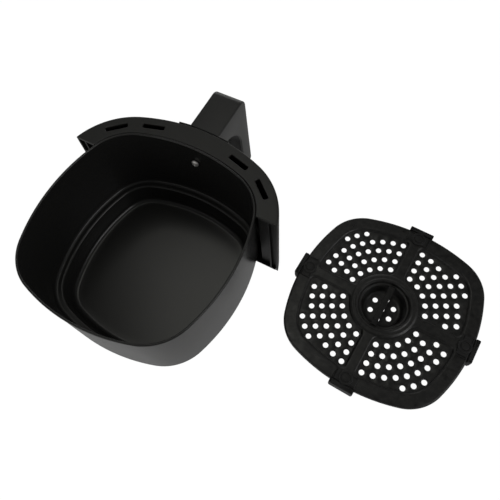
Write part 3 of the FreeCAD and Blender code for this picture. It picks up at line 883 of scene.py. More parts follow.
class HoleLipTree(PointTree):
    """Tree that lines each hole of a sheet with a wall whose two edges are rounded."""

    wall_steps = 6

    def __init__(self) -> None:
        """Builds the tree."""
        number = "NodeSocketFloat"
        super().__init__("Hole linings", {"Radius": number, "Sheet": number, "Edge round": number,
                                          "Sides": "NodeSocketInt"})
        sketch, given = self.sketch, self.given
        wall = sketch.add("GeometryNodeMeshCylinder",
                          {"Vertices": given["Sides"], "Side Segments": self.wall_steps,
                           "Radius": given["Radius"], "Depth": given["Sheet"]}, fill_type="NONE")
        place = sketch.add("ShaderNodeSeparateXYZ", {0: sketch.add("GeometryNodeInputPosition").outputs[0]})
        half = sketch.math("MULTIPLY", given["Sheet"], 0.5)
        straight = sketch.math("SUBTRACT", half, given["Edge round"])
        over = sketch.math("SUBTRACT", sketch.math("ABSOLUTE", place.outputs[2]), straight)
        share = sketch.math("DIVIDE", over, given["Edge round"], clamp=True)
        left = sketch.math("SUBTRACT", 1.0, sketch.math("MULTIPLY", share, share), clamp=True)
        bulge = sketch.math("SUBTRACT", 1.0, sketch.math("SQRT", left))
        flare = sketch.math("MULTIPLY", bulge, given["Edge round"])
        wide = sketch.math("ADD", 1.0, sketch.math("DIVIDE", flare, given["Radius"]))
        shaped = sketch.add("ShaderNodeCombineXYZ", {0: sketch.math("MULTIPLY", place.outputs[0], wide),
                                                     1: sketch.math("MULTIPLY", place.outputs[1], wide),
                                                     2: place.outputs[2]})
        lining = sketch.add("GeometryNodeSetPosition",
                            {"Geometry": wall.outputs["Mesh"], "Position": shaped.outputs[0]})
        self.close({"Instance": lining.outputs[0]})

    def perforate(self, builder: ShellBuilder, hole: Hole, places: Sequence[Vector],
                  borders: Sequence[Loop], top: float, sheet: float, material: bpy.types.Material) -> None:
        """Fills both faces of a flat sheet round its holes and lines the holes.

        Args:
            builder: Mesh that takes the sheet.
            hole: Sizes of one hole.
            places: Middles of the holes.
            borders: Border of the upper face and of the lower face.
            top: Height of the upper face.
            sheet: Thickness of the sheet.
            material: Material of the linings.
        """
        radius = hole.diameter / 2
        for border, z in zip(borders, (top, top - sheet)):
            rings = [lift(ring_points(p, radius + hole.edge_round, hole.sides), z) for p in places]
            builder.flat([border] + [builder.loop(ring) for ring in rings])
        points = bpy.data.meshes.new("hole_places")
        points.from_pydata(lift(places, top - sheet / 2), [], [])
        made = self.grow("hole_linings", points, {"Radius": radius, "Sheet": sheet, "Sides": hole.sides,
                                                  "Edge round": hole.edge_round, "Finish": material})
        builder.mesh.from_mesh(made.data)
        bpy.data.objects.remove(made)


# Drawer


@dataclass
class Pan:
    """Deep-drawn pan with a ledge for the tray and a rolled rim."""

    outline: SquaredOutline = field(default_factory=lambda: SquaredOutline(half=109.95))
    height: float = 115.0
    sheet: float = 1.2
    bead: float = 2.6
    wall_lean: float = 1.4
    ledge_height: float = 25.0
    ledge_width: float = 9.2
    ledge_fall: float = 0.8
    ledge_bend: float = 3.6
    ledge_nose: float = 2.6
    foot_lean: float = 4.3
    floor_bend: float = 7.0
    floor_border: float = 12.0
    bend_steps: int = 8
    rim_steps: int = 20

    @property
    def wall_top(self) -> float:
        """Height at which the wall meets the rolled rim."""
        return self.height - self.bead / 2 - math.sqrt(self.bead ** 2 - self.sheet ** 2) / 2

    def section(self) -> list[Vector]:
        """Samples the pan's section along the inside, over the rim and down the outside.

        Returns:
            Inset and height of each point.
        """
        inner = (self.bead + self.sheet) / 2
        low = inner + self.wall_lean
        nose = low + self.ledge_width
        foot = nose + self.foot_lean
        corners = [(foot + self.floor_border, self.sheet), (foot, self.sheet), (nose, self.ledge_height),
                   (low, self.ledge_height - self.ledge_fall), (inner, self.wall_top)]
        inside = rounded_path(corners, [self.floor_bend, self.ledge_nose, self.ledge_bend], self.bend_steps)
        outside = moved_path(inside, self.sheet)
        middle = Vector((self.bead / 2, self.height - self.bead / 2))
        start = math.degrees(math.atan2(self.wall_top - middle.y, self.sheet / 2))
        rim = arc_points(middle, self.bead / 2, start, 180 - start, self.rim_steps)
        return inside[:-1] + rim + outside[-2::-1]

    def build(self, finishes: Finishes) -> None:
        """Sweeps the section round the outline and hands the pan over.

        Args:
            finishes: All materials.
        """
        builder = ShellBuilder()
        builder.solid([lift(self.outline.ring(point.x), point.y) for point in self.section()])
        hand_over(builder.piece("pan", finishes.pan), Body.DRAWER, Slot.PAN, ["pan"])


@dataclass(frozen=True)
class Screw:
    """Turned screw with a domed head and a tapered cross in it."""

    size: float
    head: float
    rise: float
    brow: float
    recess: float
    blade: float
    dome_steps: int
    sides: int
    cross_over: float = 0.6
    cross_lip: float = 0.2
    cross_depth: float = 0.36
    cross_widths: Triple = (1.15, 0.95, 0.35)
    blade_taper: float = 0.4

    def turned(self, name: str, length: float, place: Matrix,
               material: bpy.types.Material) -> bpy.types.Object:
        """Turns shank and head and cuts the cross.

        Args:
            name: Name of the object.
            length: Length of the shank.
            place: Where the underside of the head is, in millimetres.
            material: Material of every face.

        Returns:
            The screw.
        """
        dome = [(self.head / 2 * math.cos(a), self.rise * (self.brow + (1 - self.brow) * math.sin(a)))
                for a in quarter_angles(self.dome_steps)[:-1]]
        profile = [(self.size / 2, -length), (self.size / 2, 0), (self.head / 2, 0)] + dome
        builder = ShellBuilder()
        builder.solid(spun(profile, self.sides))
        return carve(builder.piece(name, material, place), self._cross(place, material))

    def _cross(self, place: Matrix, material: bpy.types.Material) -> bpy.types.Object:
        """Makes the cross that is cut into the head.

        Args:
            place: Where the underside of the head is, in millimetres.
            material: Material of the cut faces.

        Returns:
            The cutter.
        """
        heights = (self.rise + self.cross_over, self.rise - self.cross_lip,
                   self.rise - self.recess * self.cross_depth)
        turns = [Matrix.Rotation(math.radians(turn), 3, "Z") for turn in QUARTERS]
        rings = []
        for z, share in zip(heights, self.cross_widths):
            arm = self.recess / 2 * share
            half = self.blade / 2 * (1 - self.blade_taper + self.blade_taper * share)
            corner = [Vector((arm, -half, z)), Vector((arm, half, z)), Vector((half, half, z))]
            rings.append([turn @ p for turn in turns for p in corner])
        builder = ShellBuilder()
        builder.solid(rings)
        return builder.piece("cross_cutter", material, place)


@dataclass
class PanScrew:
    """Bright screw on the inside of the front wall."""

    screw: Screw = Screw(size=5.0, head=8.5, rise=2.6, brow=0.25, recess=4.6, blade=1.1,
                         dome_steps=9, sides=40)

    def build(self, finishes: Finishes) -> None:
        """Makes the screw where its solid is and hands it over.

        Args:
            finishes: All materials.
        """
        low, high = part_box("pan_screw")
        seat = high.y / MM - self.screw.rise
        middle = (low + high) / 2 / MM
        made = self.screw.turned("pan_screw_head", seat - low.y / MM, along_y(middle.x, seat, middle.z),
                                 finishes.steel)
        hand_over(made, Body.DRAWER, Slot.STEEL, ["pan_screw"])


@dataclass
class FrontCover:
    """Curved front skin with a flat top flange and four arc slots."""

    outline: SquaredOutline = field(default_factory=SquaredOutline)
    height: float = 115.0
    depth: float = 23.5
    side: float = 17.25
    front_radius: float = 208.6
    corner_radius: float = 82.8
    end: float = 65.3
    wall: float = 2.6
    flange: float = 3.0
    lean: float = 1.9
    bottom: float = 0.6
    gap: float = 0.3
    edge_round: float = 1.6
    foot_round: float = 0.7
    inner_bend: float = 1.4
    lap_rounds: Pair = (0.5, 0.9)
    end_round: float = 0.5
    slot_length: float = 25.0
    slot_width: float = 5.5
    slot_inset: float = 12.0
    slot_round: float = 1.6
    slot_edges: Pair = (0.7, 0.4)
    front_angle: float = 15.7
    corner_angle: float = 40.8
    skin_lead: float = 4.0
    lap_lead: float = 2.0
    slot_leads: Pair = (1.6, 1.2)
    corner_steps: int = 20
    front_steps: int = 40
    pan_steps: int = 36
    skin_steps: int = 6
    lap_steps: int = 5
    slot_steps: int = 5
    slot_edge_steps: int = 4

    def __post_init__(self) -> None:
        """Works out the centres of the outline's arcs."""
        spread = self.front_radius - self.corner_radius
        self.front_y = self.front_radius - self.outline.half - self.depth
        self.corner_x = self.outline.half + self.side - self.corner_radius
        self.corner_y = self.front_y - math.sqrt(spread ** 2 - self.corner_x ** 2)
        self.join = math.degrees(math.asin(self.corner_x / spread))

    def surface_y(self, x: float, z: float, out: float = 0.0) -> float:
        """Gives the place of the front face along Y.

        Args:
            x: Sideways place.
            z: Height.
            out: Distance out from the face.

        Returns:
            The Y coordinate.
        """
        radius = self.front_radius + out - self.lean * (self.height - z) / (self.height - self.bottom)
        return self.front_y - math.sqrt(radius ** 2 - x ** 2)

    def _bow(self, corner: Pair, radius: float, front_y: float, front_radius: float, join: float,
             steps: int) -> list[Vector]:
        """Samples a left corner, a front and a right corner as one line, as far as the cover's ends.

        Args:
            corner: Centre of the right corner, which the left one mirrors.
            radius: Radius of the corners.
            front_y: Place of the front's centre along Y.
            front_radius: Radius of the front.
            join: Half the angle of the front, in degrees.
            steps: Chords in the front.

        Returns:
            The points from the left end to the right end.
        """
        x, y = corner
        stop = math.degrees(math.asin((-self.end - self.end_round - y) / radius))
        left = arc_points(Vector((-x, y)), radius, 180 - stop, 270 - join, self.corner_steps)
        front = arc_points(Vector((0, front_y)), front_radius, 270 - join, 270 + join, steps)
        right = arc_points(Vector((x, y)), radius, 270 + join, 360 + stop, self.corner_steps)
        return left[:-1] + front[:-1] + right

    def skin_path(self, inset: float) -> list[Vector]:
        """Samples the outline, moved in by an inset."""
        return self._bow((self.corner_x, self.corner_y), self.corner_radius - inset, self.front_y,
                         self.front_radius - inset, self.join, self.front_steps)

    def pan_path(self, grow: float) -> list[Vector]:
        """Samples the flange's edge along the pan, at a distance from the pan's outline."""
        pan = self.outline
        return self._bow((pan.corner_centre, -pan.corner_centre), pan.corner_radius + grow,
                         -pan.side_centre, pan.side_radius + grow, pan.join, self.pan_steps)

    def slot_ring(self, centre: Vector, radius: float, degrees: float, grow: float) -> list[Vector]:
        """Samples one slot that is bent round a centre.

        Args:
            centre: Centre of the bend.
            radius: Radius of the slot's middle line.
            degrees: Direction of the slot's middle from straight ahead.
            grow: Distance out from the slot's edge.

        Returns:
            The closed loop of the slot.
        """
        half_long = self.slot_length / 2 - self.slot_round
        half_wide = self.slot_width / 2 - self.slot_round
        points = []
        for along, across, start in ((1, 1, 0), (-1, 1, 90), (-1, -1, 180), (1, -1, 270)):
            middle = Vector((along * half_long, across * half_wide))
            points += arc_points(middle, self.slot_round + grow, start, start + 90, self.slot_steps)
        return [centre + polar(radius + p.y, 270 + degrees + math.degrees(p.x / radius)) for p in points]

    def slots(self) -> list[tuple[Vector, float, float]]:
        """Lists the four slots.

        Returns:
            Centre, radius and direction of each.
        """
        found = []
        for side in (-1, 1):
            found.append((Vector((0, self.front_y)), self.front_radius - self.slot_inset,
                          side * self.front_angle))
            found.append((Vector((side * self.corner_x, self.corner_y)),
                          self.corner_radius - self.slot_inset, side * self.corner_angle))
        return found

    def build(self, finishes: Finishes) -> None:
        """Builds skin, flange and slots as one closed mesh and hands the cover over.

        Args:
            finishes: All materials.
        """
        builder = ShellBuilder()
        top, under = self.height, self.height - self.flange
        skin_corners = [(self.skin_lead, top), (0, top), (self.lean, self.bottom),
                        (self.lean + self.wall, self.bottom), (self.wall, under),
                        (self.wall + self.skin_lead, under)]
        skin_rounds = [self.edge_round, self.foot_round, self.foot_round, self.inner_bend]
        section = rounded_path(skin_corners, skin_rounds, self.skin_steps)
        skin = builder.skin([lift(self.skin_path(p.x), p.y) for p in section], closed=False)
        inner = self.gap + self.lap_lead
        lap = rounded_path([(inner, under), (self.gap, under), (self.gap, top), (inner, top)],
                           self.lap_rounds, self.lap_steps)
        edge = builder.skin([lift(self.pan_path(p.x), p.y) for p in lap], closed=False)
        top_lead, under_lead = self.slot_leads
        slot_section = rounded_path([(top_lead, top), (0, top), (0, under), (under_lead, under)],
                                    self.slot_edges, self.slot_edge_steps)
        rings = [builder.skin([lift(self.slot_ring(*slot, p.x), p.y) for p in slot_section])
                 for slot in self.slots()]
        builder.flat([skin[0] + edge[-1][::-1]] + [ring[0] for ring in rings])
        builder.flat([skin[-1] + edge[0][::-1]] + [ring[-1] for ring in rings])
        for end in (0, -1):
            builder.cap([path[end] for path in skin + edge], self.end_round)
        made = builder.piece("front_cover_skin", finishes.cover)
        hand_over(made, Body.DRAWER, Slot.COVER, ["front_cover"])


@dataclass
class Handle:
    """Arm, grip and collar, with a separate liner on the finger side."""

    cover: FrontCover
    width: float = 36.4
    out: float = 58.3
    lean: float = 1.0
    bottom: float = 2.6
    wall: float = 2.4
    top_round: float = 10.0
    toe_round: float = 4.0
    heel_round: float = 2.4
    side_round: float = 1.8
    inner_round: float = 1.2
    arm_depth: float = 24.0
    arch_radius: float = 36.0
    grip: float = 18.0
    taper: float = 2.0
    collar_width: float = 62.0
    collar_depth: float = 30.0
    collar_rise: float = 1.5
    collar_round: float = 0.9
    seat: float = 0.15
    fit: float = 0.3
    foot_gap: float = 1.5
    channel_end: float = 0.02
    round_share: float = 0.4
    liner_rounds: Pair = (0.6, 0.3)
    liner_steps: int = 4
    liner_sink: float = 0.05
    bore_profile: tuple[Pair, ...] = ((1.8, -4.0), (1.8, -1.2), (3.1, -1.2), (3.1, 0.0), (3.5, 0.4),
                                      (3.5, 2.0))
    bore_sides: int = 32
    bend_steps: int = 16
    arm_steps: int = 10
    grip_steps: int = 30
    round_steps: int = 5
    collar_steps: tuple[int, int] = (24, 6)
    collar_border: float = 2.0

    def __post_init__(self) -> None:
        """Works out the places that follow from the sizes."""
        self.top = self.cover.height
        self.under = self.top - self.arm_depth
        self.root = -self.cover.outline.half - self.cover.depth
        self.reach = self.root - self.out

    def side_paths(self) -> tuple[list[Vector], list[Vector]]:
        """Samples the two long lines of the side view, from the root to the foot.

        Returns:
            The outer line and the finger-side line, as Y and Z, paired point by point.
        """
        middle = self.reach + self.grip / 2 - self.taper
        heel = self.reach + self.grip
        outer = rounded_path([(self.root, self.top), (self.reach, self.top),
                              (self.reach - self.lean, self.bottom), (middle, self.bottom)],
                             [self.top_round, self.toe_round], self.bend_steps)
        inner = rounded_path([(self.root, self.under), (heel, self.under), (heel - self.taper, self.bottom),
                              (middle + self.foot_gap, self.bottom)],
                             [self.arch_radius, self.heel_round], self.bend_steps)
        return self._spread(outer), self._spread(inner)

    def _spread(self, points: Sequence[Vector]) -> list[Vector]:
        """Adds points along the two straight runs of a side line.

        Args:
            points: Line whose bends alone are sampled.

        Returns:
            The denser line.
        """
        bend = self.bend_steps + 1
        arm = [points[0].lerp(points[1], i / self.arm_steps) for i in range(self.arm_steps)]
        grip = [points[bend].lerp(points[bend + 1], i / self.grip_steps) for i in range(1, self.grip_steps)]
        return arm + list(points[1:bend + 1]) + grip + list(points[bend + 1:])

    def ring(self, index: int, lines: SideLines, channel: float) -> list[Vector]:
        """Makes one cross-section of the shell.

        Args:
            index: Station along the side lines.
            lines: Outer line, its inward directions, finger-side line and its inward directions.
            channel: Depth of the channel that takes the liner.

        Returns:
            The closed ring of points.
        """
        outer, outer_in, inner, inner_in = lines
        most = (outer[index] - inner[index]).length * self.round_share
        half = self.width / 2
        slot = half - self.wall
        ring = []
        for base, inward, edge_round in ((outer, outer_in, self.side_round),
                                         (inner, inner_in, self.inner_round)):
            radius = min(edge_round, most)
            rounds = [(half - radius + radius * math.sin(a), radius * (1 - math.cos(a)))
                      for a in quarter_angles(self.round_steps)]
            if base is inner:
                rounds = rounds[::-1] + [(slot, 0.0), (slot, channel), (0.0, channel)]
            else:
                rounds = [(0.0, 0.0)] + rounds
            ring += [(x, base[index] + inward[index] * n) for x, n in rounds]
        mirrored = [(-x, p) for x, p in ring[-2:0:-1]]
        return [Vector((x, p.x, p.y)) for x, p in ring + mirrored]

    def _lines(self) -> SideLines:
        """Finds both side lines and the directions that lead from them into the plastic.

        Returns:
            Outer line, its inward directions, finger-side line and its inward directions.
        """
        outer, inner = self.side_paths()
        outer_in = [b - a for a, b in zip(outer, moved_path(outer, 1.0))]
        inner_in = [b - a for a, b in zip(inner, moved_path(inner, -1.0))]
        return outer, outer_in, inner, inner_in

    def build(self, finishes: Finishes) -> None:
        """Builds shell and liner and hands both over.

        Args:
            finishes: All materials.
        """
        lines = self._lines()
        depth = self.wall + self.fit
        rings = []
        was_in = False
        for i, point in enumerate(lines[2]):
            in_channel = point.y > self.bottom + self.wall
            if was_in and not in_channel:
                rings.append(self.ring(i, lines, depth))
            ring = self.ring(i, lines, depth if in_channel else self.channel_end)
            if i == 0:
                ring = [Vector((p.x, self.cover.surface_y(p.x, p.z, self.seat), p.z)) for p in ring]
            rings.append(ring)
            was_in = in_channel
        builder = ShellBuilder()
        builder.solid(rings)
        self._collar(builder)
        shell = builder.piece("handle_shell_skin", finishes.handle)
        hand_over(shell, Body.DRAWER, Slot.HANDLE, ["handle_shell"])
        self._liner(finishes, lines)

    def _collar_marks(self, low: float, high: float, steps: int) -> list[Pair]:
        """Lists places across the collar with the drop of its rounded edge.

        Args:
            low: First place.
            high: Last place.
            steps: Parts that the flat middle is divided into.

        Returns:
            Place and drop of each mark.
        """
        rounds = [(self.collar_round * (1 - math.cos(a)), self.collar_round * (1 - math.sin(a)))
                  for a in quarter_angles(self.round_steps)]
        flat = [low + (high - low) * i / steps for i in range(1, steps)]
        return ([(low + x, drop) for x, drop in rounds]
                + [(x, 0.0) for x in flat if low + self.collar_border < x < high - self.collar_border]
                + [(high - x, drop) for x, drop in rounds[::-1]])

    def _collar(self, builder: ShellBuilder) -> None:
        """Adds the low curved plate round the root of the arm.

        Args:
            builder: Mesh of the shell.
        """
        def border(rows: list[Loop]) -> list[Loop]:
            """Lists the four border lines of a grid."""
            return [rows[0], [row[-1] for row in rows], rows[-1][::-1], [row[0] for row in rows][::-1]]

        across, down = self.collar_steps
        columns = self._collar_marks(-self.collar_width / 2, self.collar_width / 2, across)
        rows = self._collar_marks(self.top - self.collar_depth, self.top, down)
        rise = self.seat + self.collar_rise
        outside = [[Vector((x, self.cover.surface_y(x, z, rise - max(z_drop, x_drop)), z))
                    for x, x_drop in columns] for z, z_drop in rows]
        inside = [[Vector((x, self.cover.surface_y(x, z, self.seat), z)) for x, _ in columns]
                  for z, _ in rows]
        front, back = [builder.skin(grid, closed=False) for grid in (outside, inside)]
        for a, b in zip(border(front), border(back)):
            builder.strip(a, b, closed=False)

    def _liner(self, finishes: Finishes, lines: SideLines) -> None:
        """Builds the bent liner strip, bores it for its screws and hands it over.

        Args:
            finishes: All materials.
            lines: Side lines and their inward directions.
        """
        half = self.width / 2 - self.wall - self.fit
        foot = self.bottom + self.wall + self.fit
        section = rounded_path([(0, 0), (half, 0), (half, self.wall), (0, self.wall)],
                               self.liner_rounds, self.liner_steps)
        section += [Vector((-p.x, p.y)) for p in section[-2:0:-1]]
        rings = []
        for i, (point, inward) in enumerate(zip(lines[2], lines[3])):
            if point.y < foot:
                break
            ring = []
            for p in section:
                q = point + inward * (p.y + self.liner_sink)
                y = self.cover.surface_y(p.x, q.y, self.seat + self.fit) if i == 0 else q.x
                ring.append(Vector((p.x, y, q.y)))
            rings.append(ring)
        builder = ShellBuilder()
        builder.solid(rings)
        made = builder.piece("handle_liner_strip", finishes.liner)
        for node in ("grip_screw_1", "grip_screw_2"):
            low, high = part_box(node)
            carve(made, self._liner_bore((low.z + high.z) / 2 / MM, finishes.liner))
        hand_over(made, Body.DRAWER, Slot.HANDLE, ["handle_liner"])

    def grip_face(self, z: float) -> float:
        """Gives the finger face of the straight grip along Y."""
        rise = (z - self.bottom) / (self.under - self.bottom)
        return self.reach + self.grip - self.taper * (1 - rise)

    def _liner_bore(self, z: float, material: bpy.types.Material) -> bpy.types.Object:
        """Makes the stepped bore of one grip screw.

        Args:
            z: Height of the screw.
            material: Material of the cut faces.

        Returns:
            The cutter.
        """
        builder = ShellBuilder()
        builder.solid(spun(self.bore_profile, self.bore_sides))
        return builder.piece("liner_bore", material, along_y(0, self.grip_face(z), z))


@dataclass
class SmallScrews:
    """The eight small screws of panel, handle and grip."""

    screw: Screw = Screw(size=3.0, head=5.6, rise=1.8, brow=0.3, recess=3.2, blade=0.8,
                         dome_steps=6, sides=24)
    length: float = 7.5
    grip_rise: float = 1.05

    def spot(self, node: str) -> Spot:
        """Finds place, turn and size of one screw from its solid.

        Args:
            node: Name of the screw's node.

        Returns:
            Place in metres, turn and size.
        """
        low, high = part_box(node)
        middle = (low + high) / 2
        rise = self.screw.rise
        if node.startswith("panel"):
            return Vector((middle.x, middle.y, low.z + rise * MM)), Euler((math.pi, 0, 0)), FULL_SIZE
        share = 1.0 if node.startswith("handle") else self.grip_rise / rise
        seat = Vector((middle.x, high.y - rise * share * MM, middle.z))
        return seat, Euler((math.radians(-90), 0, 0)), Vector((1, 1, share))

    def build(self, finishes: Finishes, copies: CopyTree) -> None:
        """Copies the screw to every place and hands the set over.

        Args:
            finishes: All materials.
            copies: Tree that sets the copies.
        """
        hidden = [f"panel_screw_{i}" for i in range(1, 5)] + [f"handle_screw_{i}" for i in (1, 2)]
        grip = [f"grip_screw_{i}" for i in (1, 2)]
        # The grip screws take the dark steel, which paints in the shade under the arm.
        for name, nodes, material in (("small_screws", hidden, finishes.steel),
                                      ("grip_screws", grip, finishes.painted_shade_steel)):
            shape = self.screw.turned("small_screw_shape", self.length, Matrix.Identity(4), material)
            made = copies.place(name, shape, material, [self.spot(node) for node in nodes])
            hand_over(made, Body.DRAWER, Slot.STEEL, nodes)


# Crisper tray


@dataclass
class TrayPlace:
    """Where the tray lies beside the drawer."""

    x: float = -246.6
    y: float = -76.6
    turn: float = -2.8

    def matrix(self) -> Matrix:
        """Gives the tray's place, in millimetres."""
        return Matrix.Translation((self.x, self.y, 0)) @ Matrix.Rotation(math.radians(self.turn), 4, "Z")


@dataclass
class CrisperPlate:
    """Perforated plate with a brim, four sunken fields and four spokes."""

    place: TrayPlace
    outline: SquaredOutline = field(default_factory=SquaredOutline)
    inset: float = 10.0
    sheet: float = 1.0
    height: float = 15.4
    brim: float = 15.9
    brim_lead: float = 6.0
    skirt: float = 4.0
    skirt_bend: float = 2.2
    lip_round: float = 0.3
    field_depth: float = 2.5
    field_slope: float = 0.6
    field_brow: float = 0.8
    field_lead: float = 2.4
    field_corner: float = 5.0
    field_ease: float = 3.0
    floor_lead: float = 0.2
    floor_bend: float = 0.2
    spoke: float = 13.0
    hub: float = 37.0
    mouth: float = 28.9
    hole: Hole = Hole(diameter=5.95, edge_round=0.32, sides=20)
    pitch: float = 11.73
    row_first: float = 44.7
    row_last: float = 89.47
    row_counts: tuple[int, ...] = (5, 6, 8, 9, 3)
    stagger: float = 2.9
    side_steps: int = 80
    corner_steps: int = 60
    spoke_steps: int = 60
    hub_steps: int = 50
    ease_steps: int = 10
    bend_steps: int = 8
    mouth_sides: int = 72
    spacing: float = 0.7

    def hole_places(self, turn: float) -> list[Vector]:
        """Lists the hole middles of one field.

        Args:
            turn: Direction of the field's first spoke, in degrees.

        Returns:
            The middles, row by row. Every other row is staggered, and neighbouring fields mirror each other.
        """
        places = []
        side = 1 if turn % 180 == 0 else -1
        for row, count in enumerate(self.row_counts):
            radius = self.row_first + (self.row_last - self.row_first) * row / (len(self.row_counts) - 1)
            shift = side * self.stagger * (row % 2)
            for i in range(count):
                along = (i - (count - 1) / 2) * self.pitch + shift
                places.append(polar(radius, turn + 45 + math.degrees(along / radius)))
        return places

    def field_ring(self) -> list[Vector]:
        """Samples the outline of the field between +X and +Y, with its four corners rounded.

        Returns:
            The closed loop of points.
        """
        gap = self.spoke / 2
        inset = self.inset + self.brim
        side = [p for turn in (0, 90)
                for p in self.outline.quarter(inset, turn, self.side_steps, self.corner_steps)
                if p.x > gap and p.y > gap]
        side_x = self.outline.side_centre + math.sqrt((self.outline.side_radius - inset) ** 2 - gap ** 2)
        hub = math.sqrt(self.hub ** 2 - gap ** 2)
        corners = [Vector((side_x, gap)), Vector((gap, side_x)), Vector((gap, hub)), Vector((hub, gap))]
        reach = math.degrees(math.asin(gap / self.hub))
        shares = [i / self.spoke_steps for i in range(self.spoke_steps)]
        points = [corners[0]] + side
        points += [corners[1].lerp(corners[2], share) for share in shares]
        points += arc_points(ORIGIN, self.hub, 90 - reach, reach, self.hub_steps)[:-1]
        points += [corners[3].lerp(corners[0], share) for share in shares]
        for corner in corners:
            points = eased_corner(points, corner, self.field_corner, self.ease_steps)
        thin = [points[0]]
        for p in points[1:]:
            if (p - thin[-1]).length > self.spacing:
                thin.append(p)
        return thin

    def _edge(self, builder: ShellBuilder) -> list[Loop]:
        """Adds the brim's outer part with its skirt.

        Args:
            builder: Mesh of the plate.

        Returns:
            The rings, from the top round to the underside.
        """
        over = rounded_path([(self.inset + self.brim_lead, self.height), (self.inset, self.height),
                             (self.inset, self.height - self.skirt)], [self.skirt_bend], self.bend_steps)
        under = moved_path(over, self.sheet)
        section = over + rolled_lip(over[-1], under[-1], Vector((0, -self.lip_round))) + under[::-1]
        return builder.skin([lift(self.outline.ring(p.x), p.y) for p in section])

    def build(self, finishes: Finishes, linings: HoleLipTree) -> None:
        """Builds both sides of the plate with all holes and hands it over.

        Args:
            finishes: All materials.
            linings: Tree that lines the holes.
        """
        builder = ShellBuilder()
        edge = self._edge(builder)
        mouth = builder.skin([lift(ring_points(ORIGIN, self.mouth, self.mouth_sides), z)
                              for z in (self.height, self.height - self.sheet)])
        base = self.field_ring()
        floor = self.height - self.field_depth
        wall = rounded_path([(-self.field_brow - self.field_lead, self.height),
                             (-self.field_brow, self.height), (self.field_slope, floor),
                             (self.field_slope + self.floor_lead, floor)],
                            [self.field_ease, self.floor_bend], self.bend_steps)
        walls = (wall, moved_path(wall, -self.sheet))
        faces = [[edge[0], mouth[0]], [edge[-1], mouth[-1]]]
        for turn in QUARTERS:
            spin = Matrix.Rotation(math.radians(turn), 2)
            skins = []
            for face, path in zip(faces, walls):
                rings = [lift([spin @ p for p in moved_path(base, q.x, True)], q.y) for q in path]
                skins.append(builder.skin(rings))
                face.append(skins[-1][0])
            linings.perforate(builder, self.hole, self.hole_places(turn), [skin[-1] for skin in skins],
                              floor, self.sheet, finishes.tray)
        for face in faces:
            builder.flat(face)
        made = builder.piece("crisper_plate_pressing", finishes.tray, self.place.matrix())
        hand_over(made, Body.TRAY, Slot.TRAY, ["crisper_plate"])


@dataclass
class LiftCup:
    """Round cup in the middle of the tray, with drain holes and a lifting bar."""

    place: TrayPlace
    bead: tuple[Pair, ...] = ((36.6, 15.42), (34.4, 16.45), (31.4, 16.3), (30.0, 17.0), (28.9, 17.0),
                              (27.8, 16.0))
    bead_bends: tuple[float, ...] = (0.9, 1.6, 0.8, 0.8, 0.8)
    mouth: float = 27.6
    seat: float = 24.4
    floor: float = 21.4
    floor_flat: float = 16.6
    slope: float = 1.0
    step: float = 3.0
    top: float = 16.4
    floor_height: float = 1.3
    sheet: float = 1.0
    step_bend: float = 0.8
    seat_bend: float = 1.5
    floor_bend: float = 5.0
    bend_steps: int = 6
    lip_round: float = 0.3
    hole: Hole = Hole(diameter=5.85, edge_round=0.3, sides=24)
    hole_circle: float = 12.8
    hole_count: int = 6
    sides: int = 96
    bar_width: float = 6.4
    bar_sheet: float = 2.0
    bar_offset: float = 0.7
    bar_crown: float = 3.0
    bar_bend: float = 2.8
    bar_play: float = 0.3
    bar_ease: float = 0.55
    bar_end_round: float = 0.3
    bar_steps: int = 8
    bar_ease_steps: int = 4

    def build(self, finishes: Finishes, linings: HoleLipTree) -> None:
        """Builds cup and bar and hands both over.

        Args:
            finishes: All materials.
            linings: Tree that lines the holes.
        """
        seat = self.top - self.step
        corners = [*self.bead, (self.mouth - self.slope, seat), (self.seat, seat),
                   (self.floor, self.floor_height), (self.floor_flat, self.floor_height)]
        bends = [*self.bead_bends, self.step_bend, self.seat_bend, self.floor_bend]
        path = rounded_path(corners, bends, self.bend_steps)
        under = moved_path(path, self.sheet)
        section = under[::-1] + rolled_lip(under[0], path[0], Vector((self.lip_round, 0))) + path
        builder = ShellBuilder()
        loops = builder.skin(spun([(p.x, p.y) for p in section], self.sides))
        turns = [90 + 360 * i / self.hole_count for i in range(self.hole_count)]
        places = [ORIGIN] + [polar(self.hole_circle, turn) for turn in turns]
        linings.perforate(builder, self.hole, places, [loops[-1], loops[0]], self.floor_height, self.sheet,
                          finishes.tray)
        made = builder.piece("lift_cup_pressing", finishes.tray, self.place.matrix())
        hand_over(made, Body.TRAY, Slot.TRAY, ["lift_cup"])
        self._bar(finishes, seat)

    def _bar(self, finishes: Finishes, seat: float) -> None:
        """Builds the bent bar across the cup.

        Args:
            finishes: All materials.
            seat: Height of the step that carries the bar.
        """
        edge = self.bar_offset + self.bar_width / 2
        half = math.sqrt((self.mouth - self.slope - self.step_bend - self.bar_play) ** 2 - edge ** 2)
        foot = math.sqrt(self.seat ** 2 - edge ** 2) - self.bar_bend / 2
        rise = seat + self.bar_crown
        shoulder = foot - self.bar_crown
        under = rounded_path([(-half, seat), (-foot, seat), (-shoulder, rise), (shoulder, rise), (foot, seat),
                              (half, seat)], [self.bar_bend] * 4, self.bar_steps)
        ease = self.bar_ease
        wide = self.bar_width / 2 - ease
        rings = []
        for low, high in zip(under, moved_path(under, self.bar_sheet)):
            away = (high - low).normalized()
            ring = []
            for base, x, y, start in ((high, wide, -ease, 0), (high, -wide, -ease, 90),
                                      (low, -wide, ease, 180), (low, wide, ease, 270)):
                for corner in arc_points(Vector((x, y)), ease, start, start + 90, self.bar_ease_steps):
                    p = base + away * corner.y
                    ring.append(Vector((self.bar_offset + corner.x, p.x, p.y)))
            rings.append(ring)
        builder = ShellBuilder()
        builder.solid(rings, self.bar_end_round)
        made = builder.piece("lift_bar_strip", finishes.bar, self.place.matrix())
        hand_over(made, Body.TRAY, Slot.TRAY, ["lift_bar"])


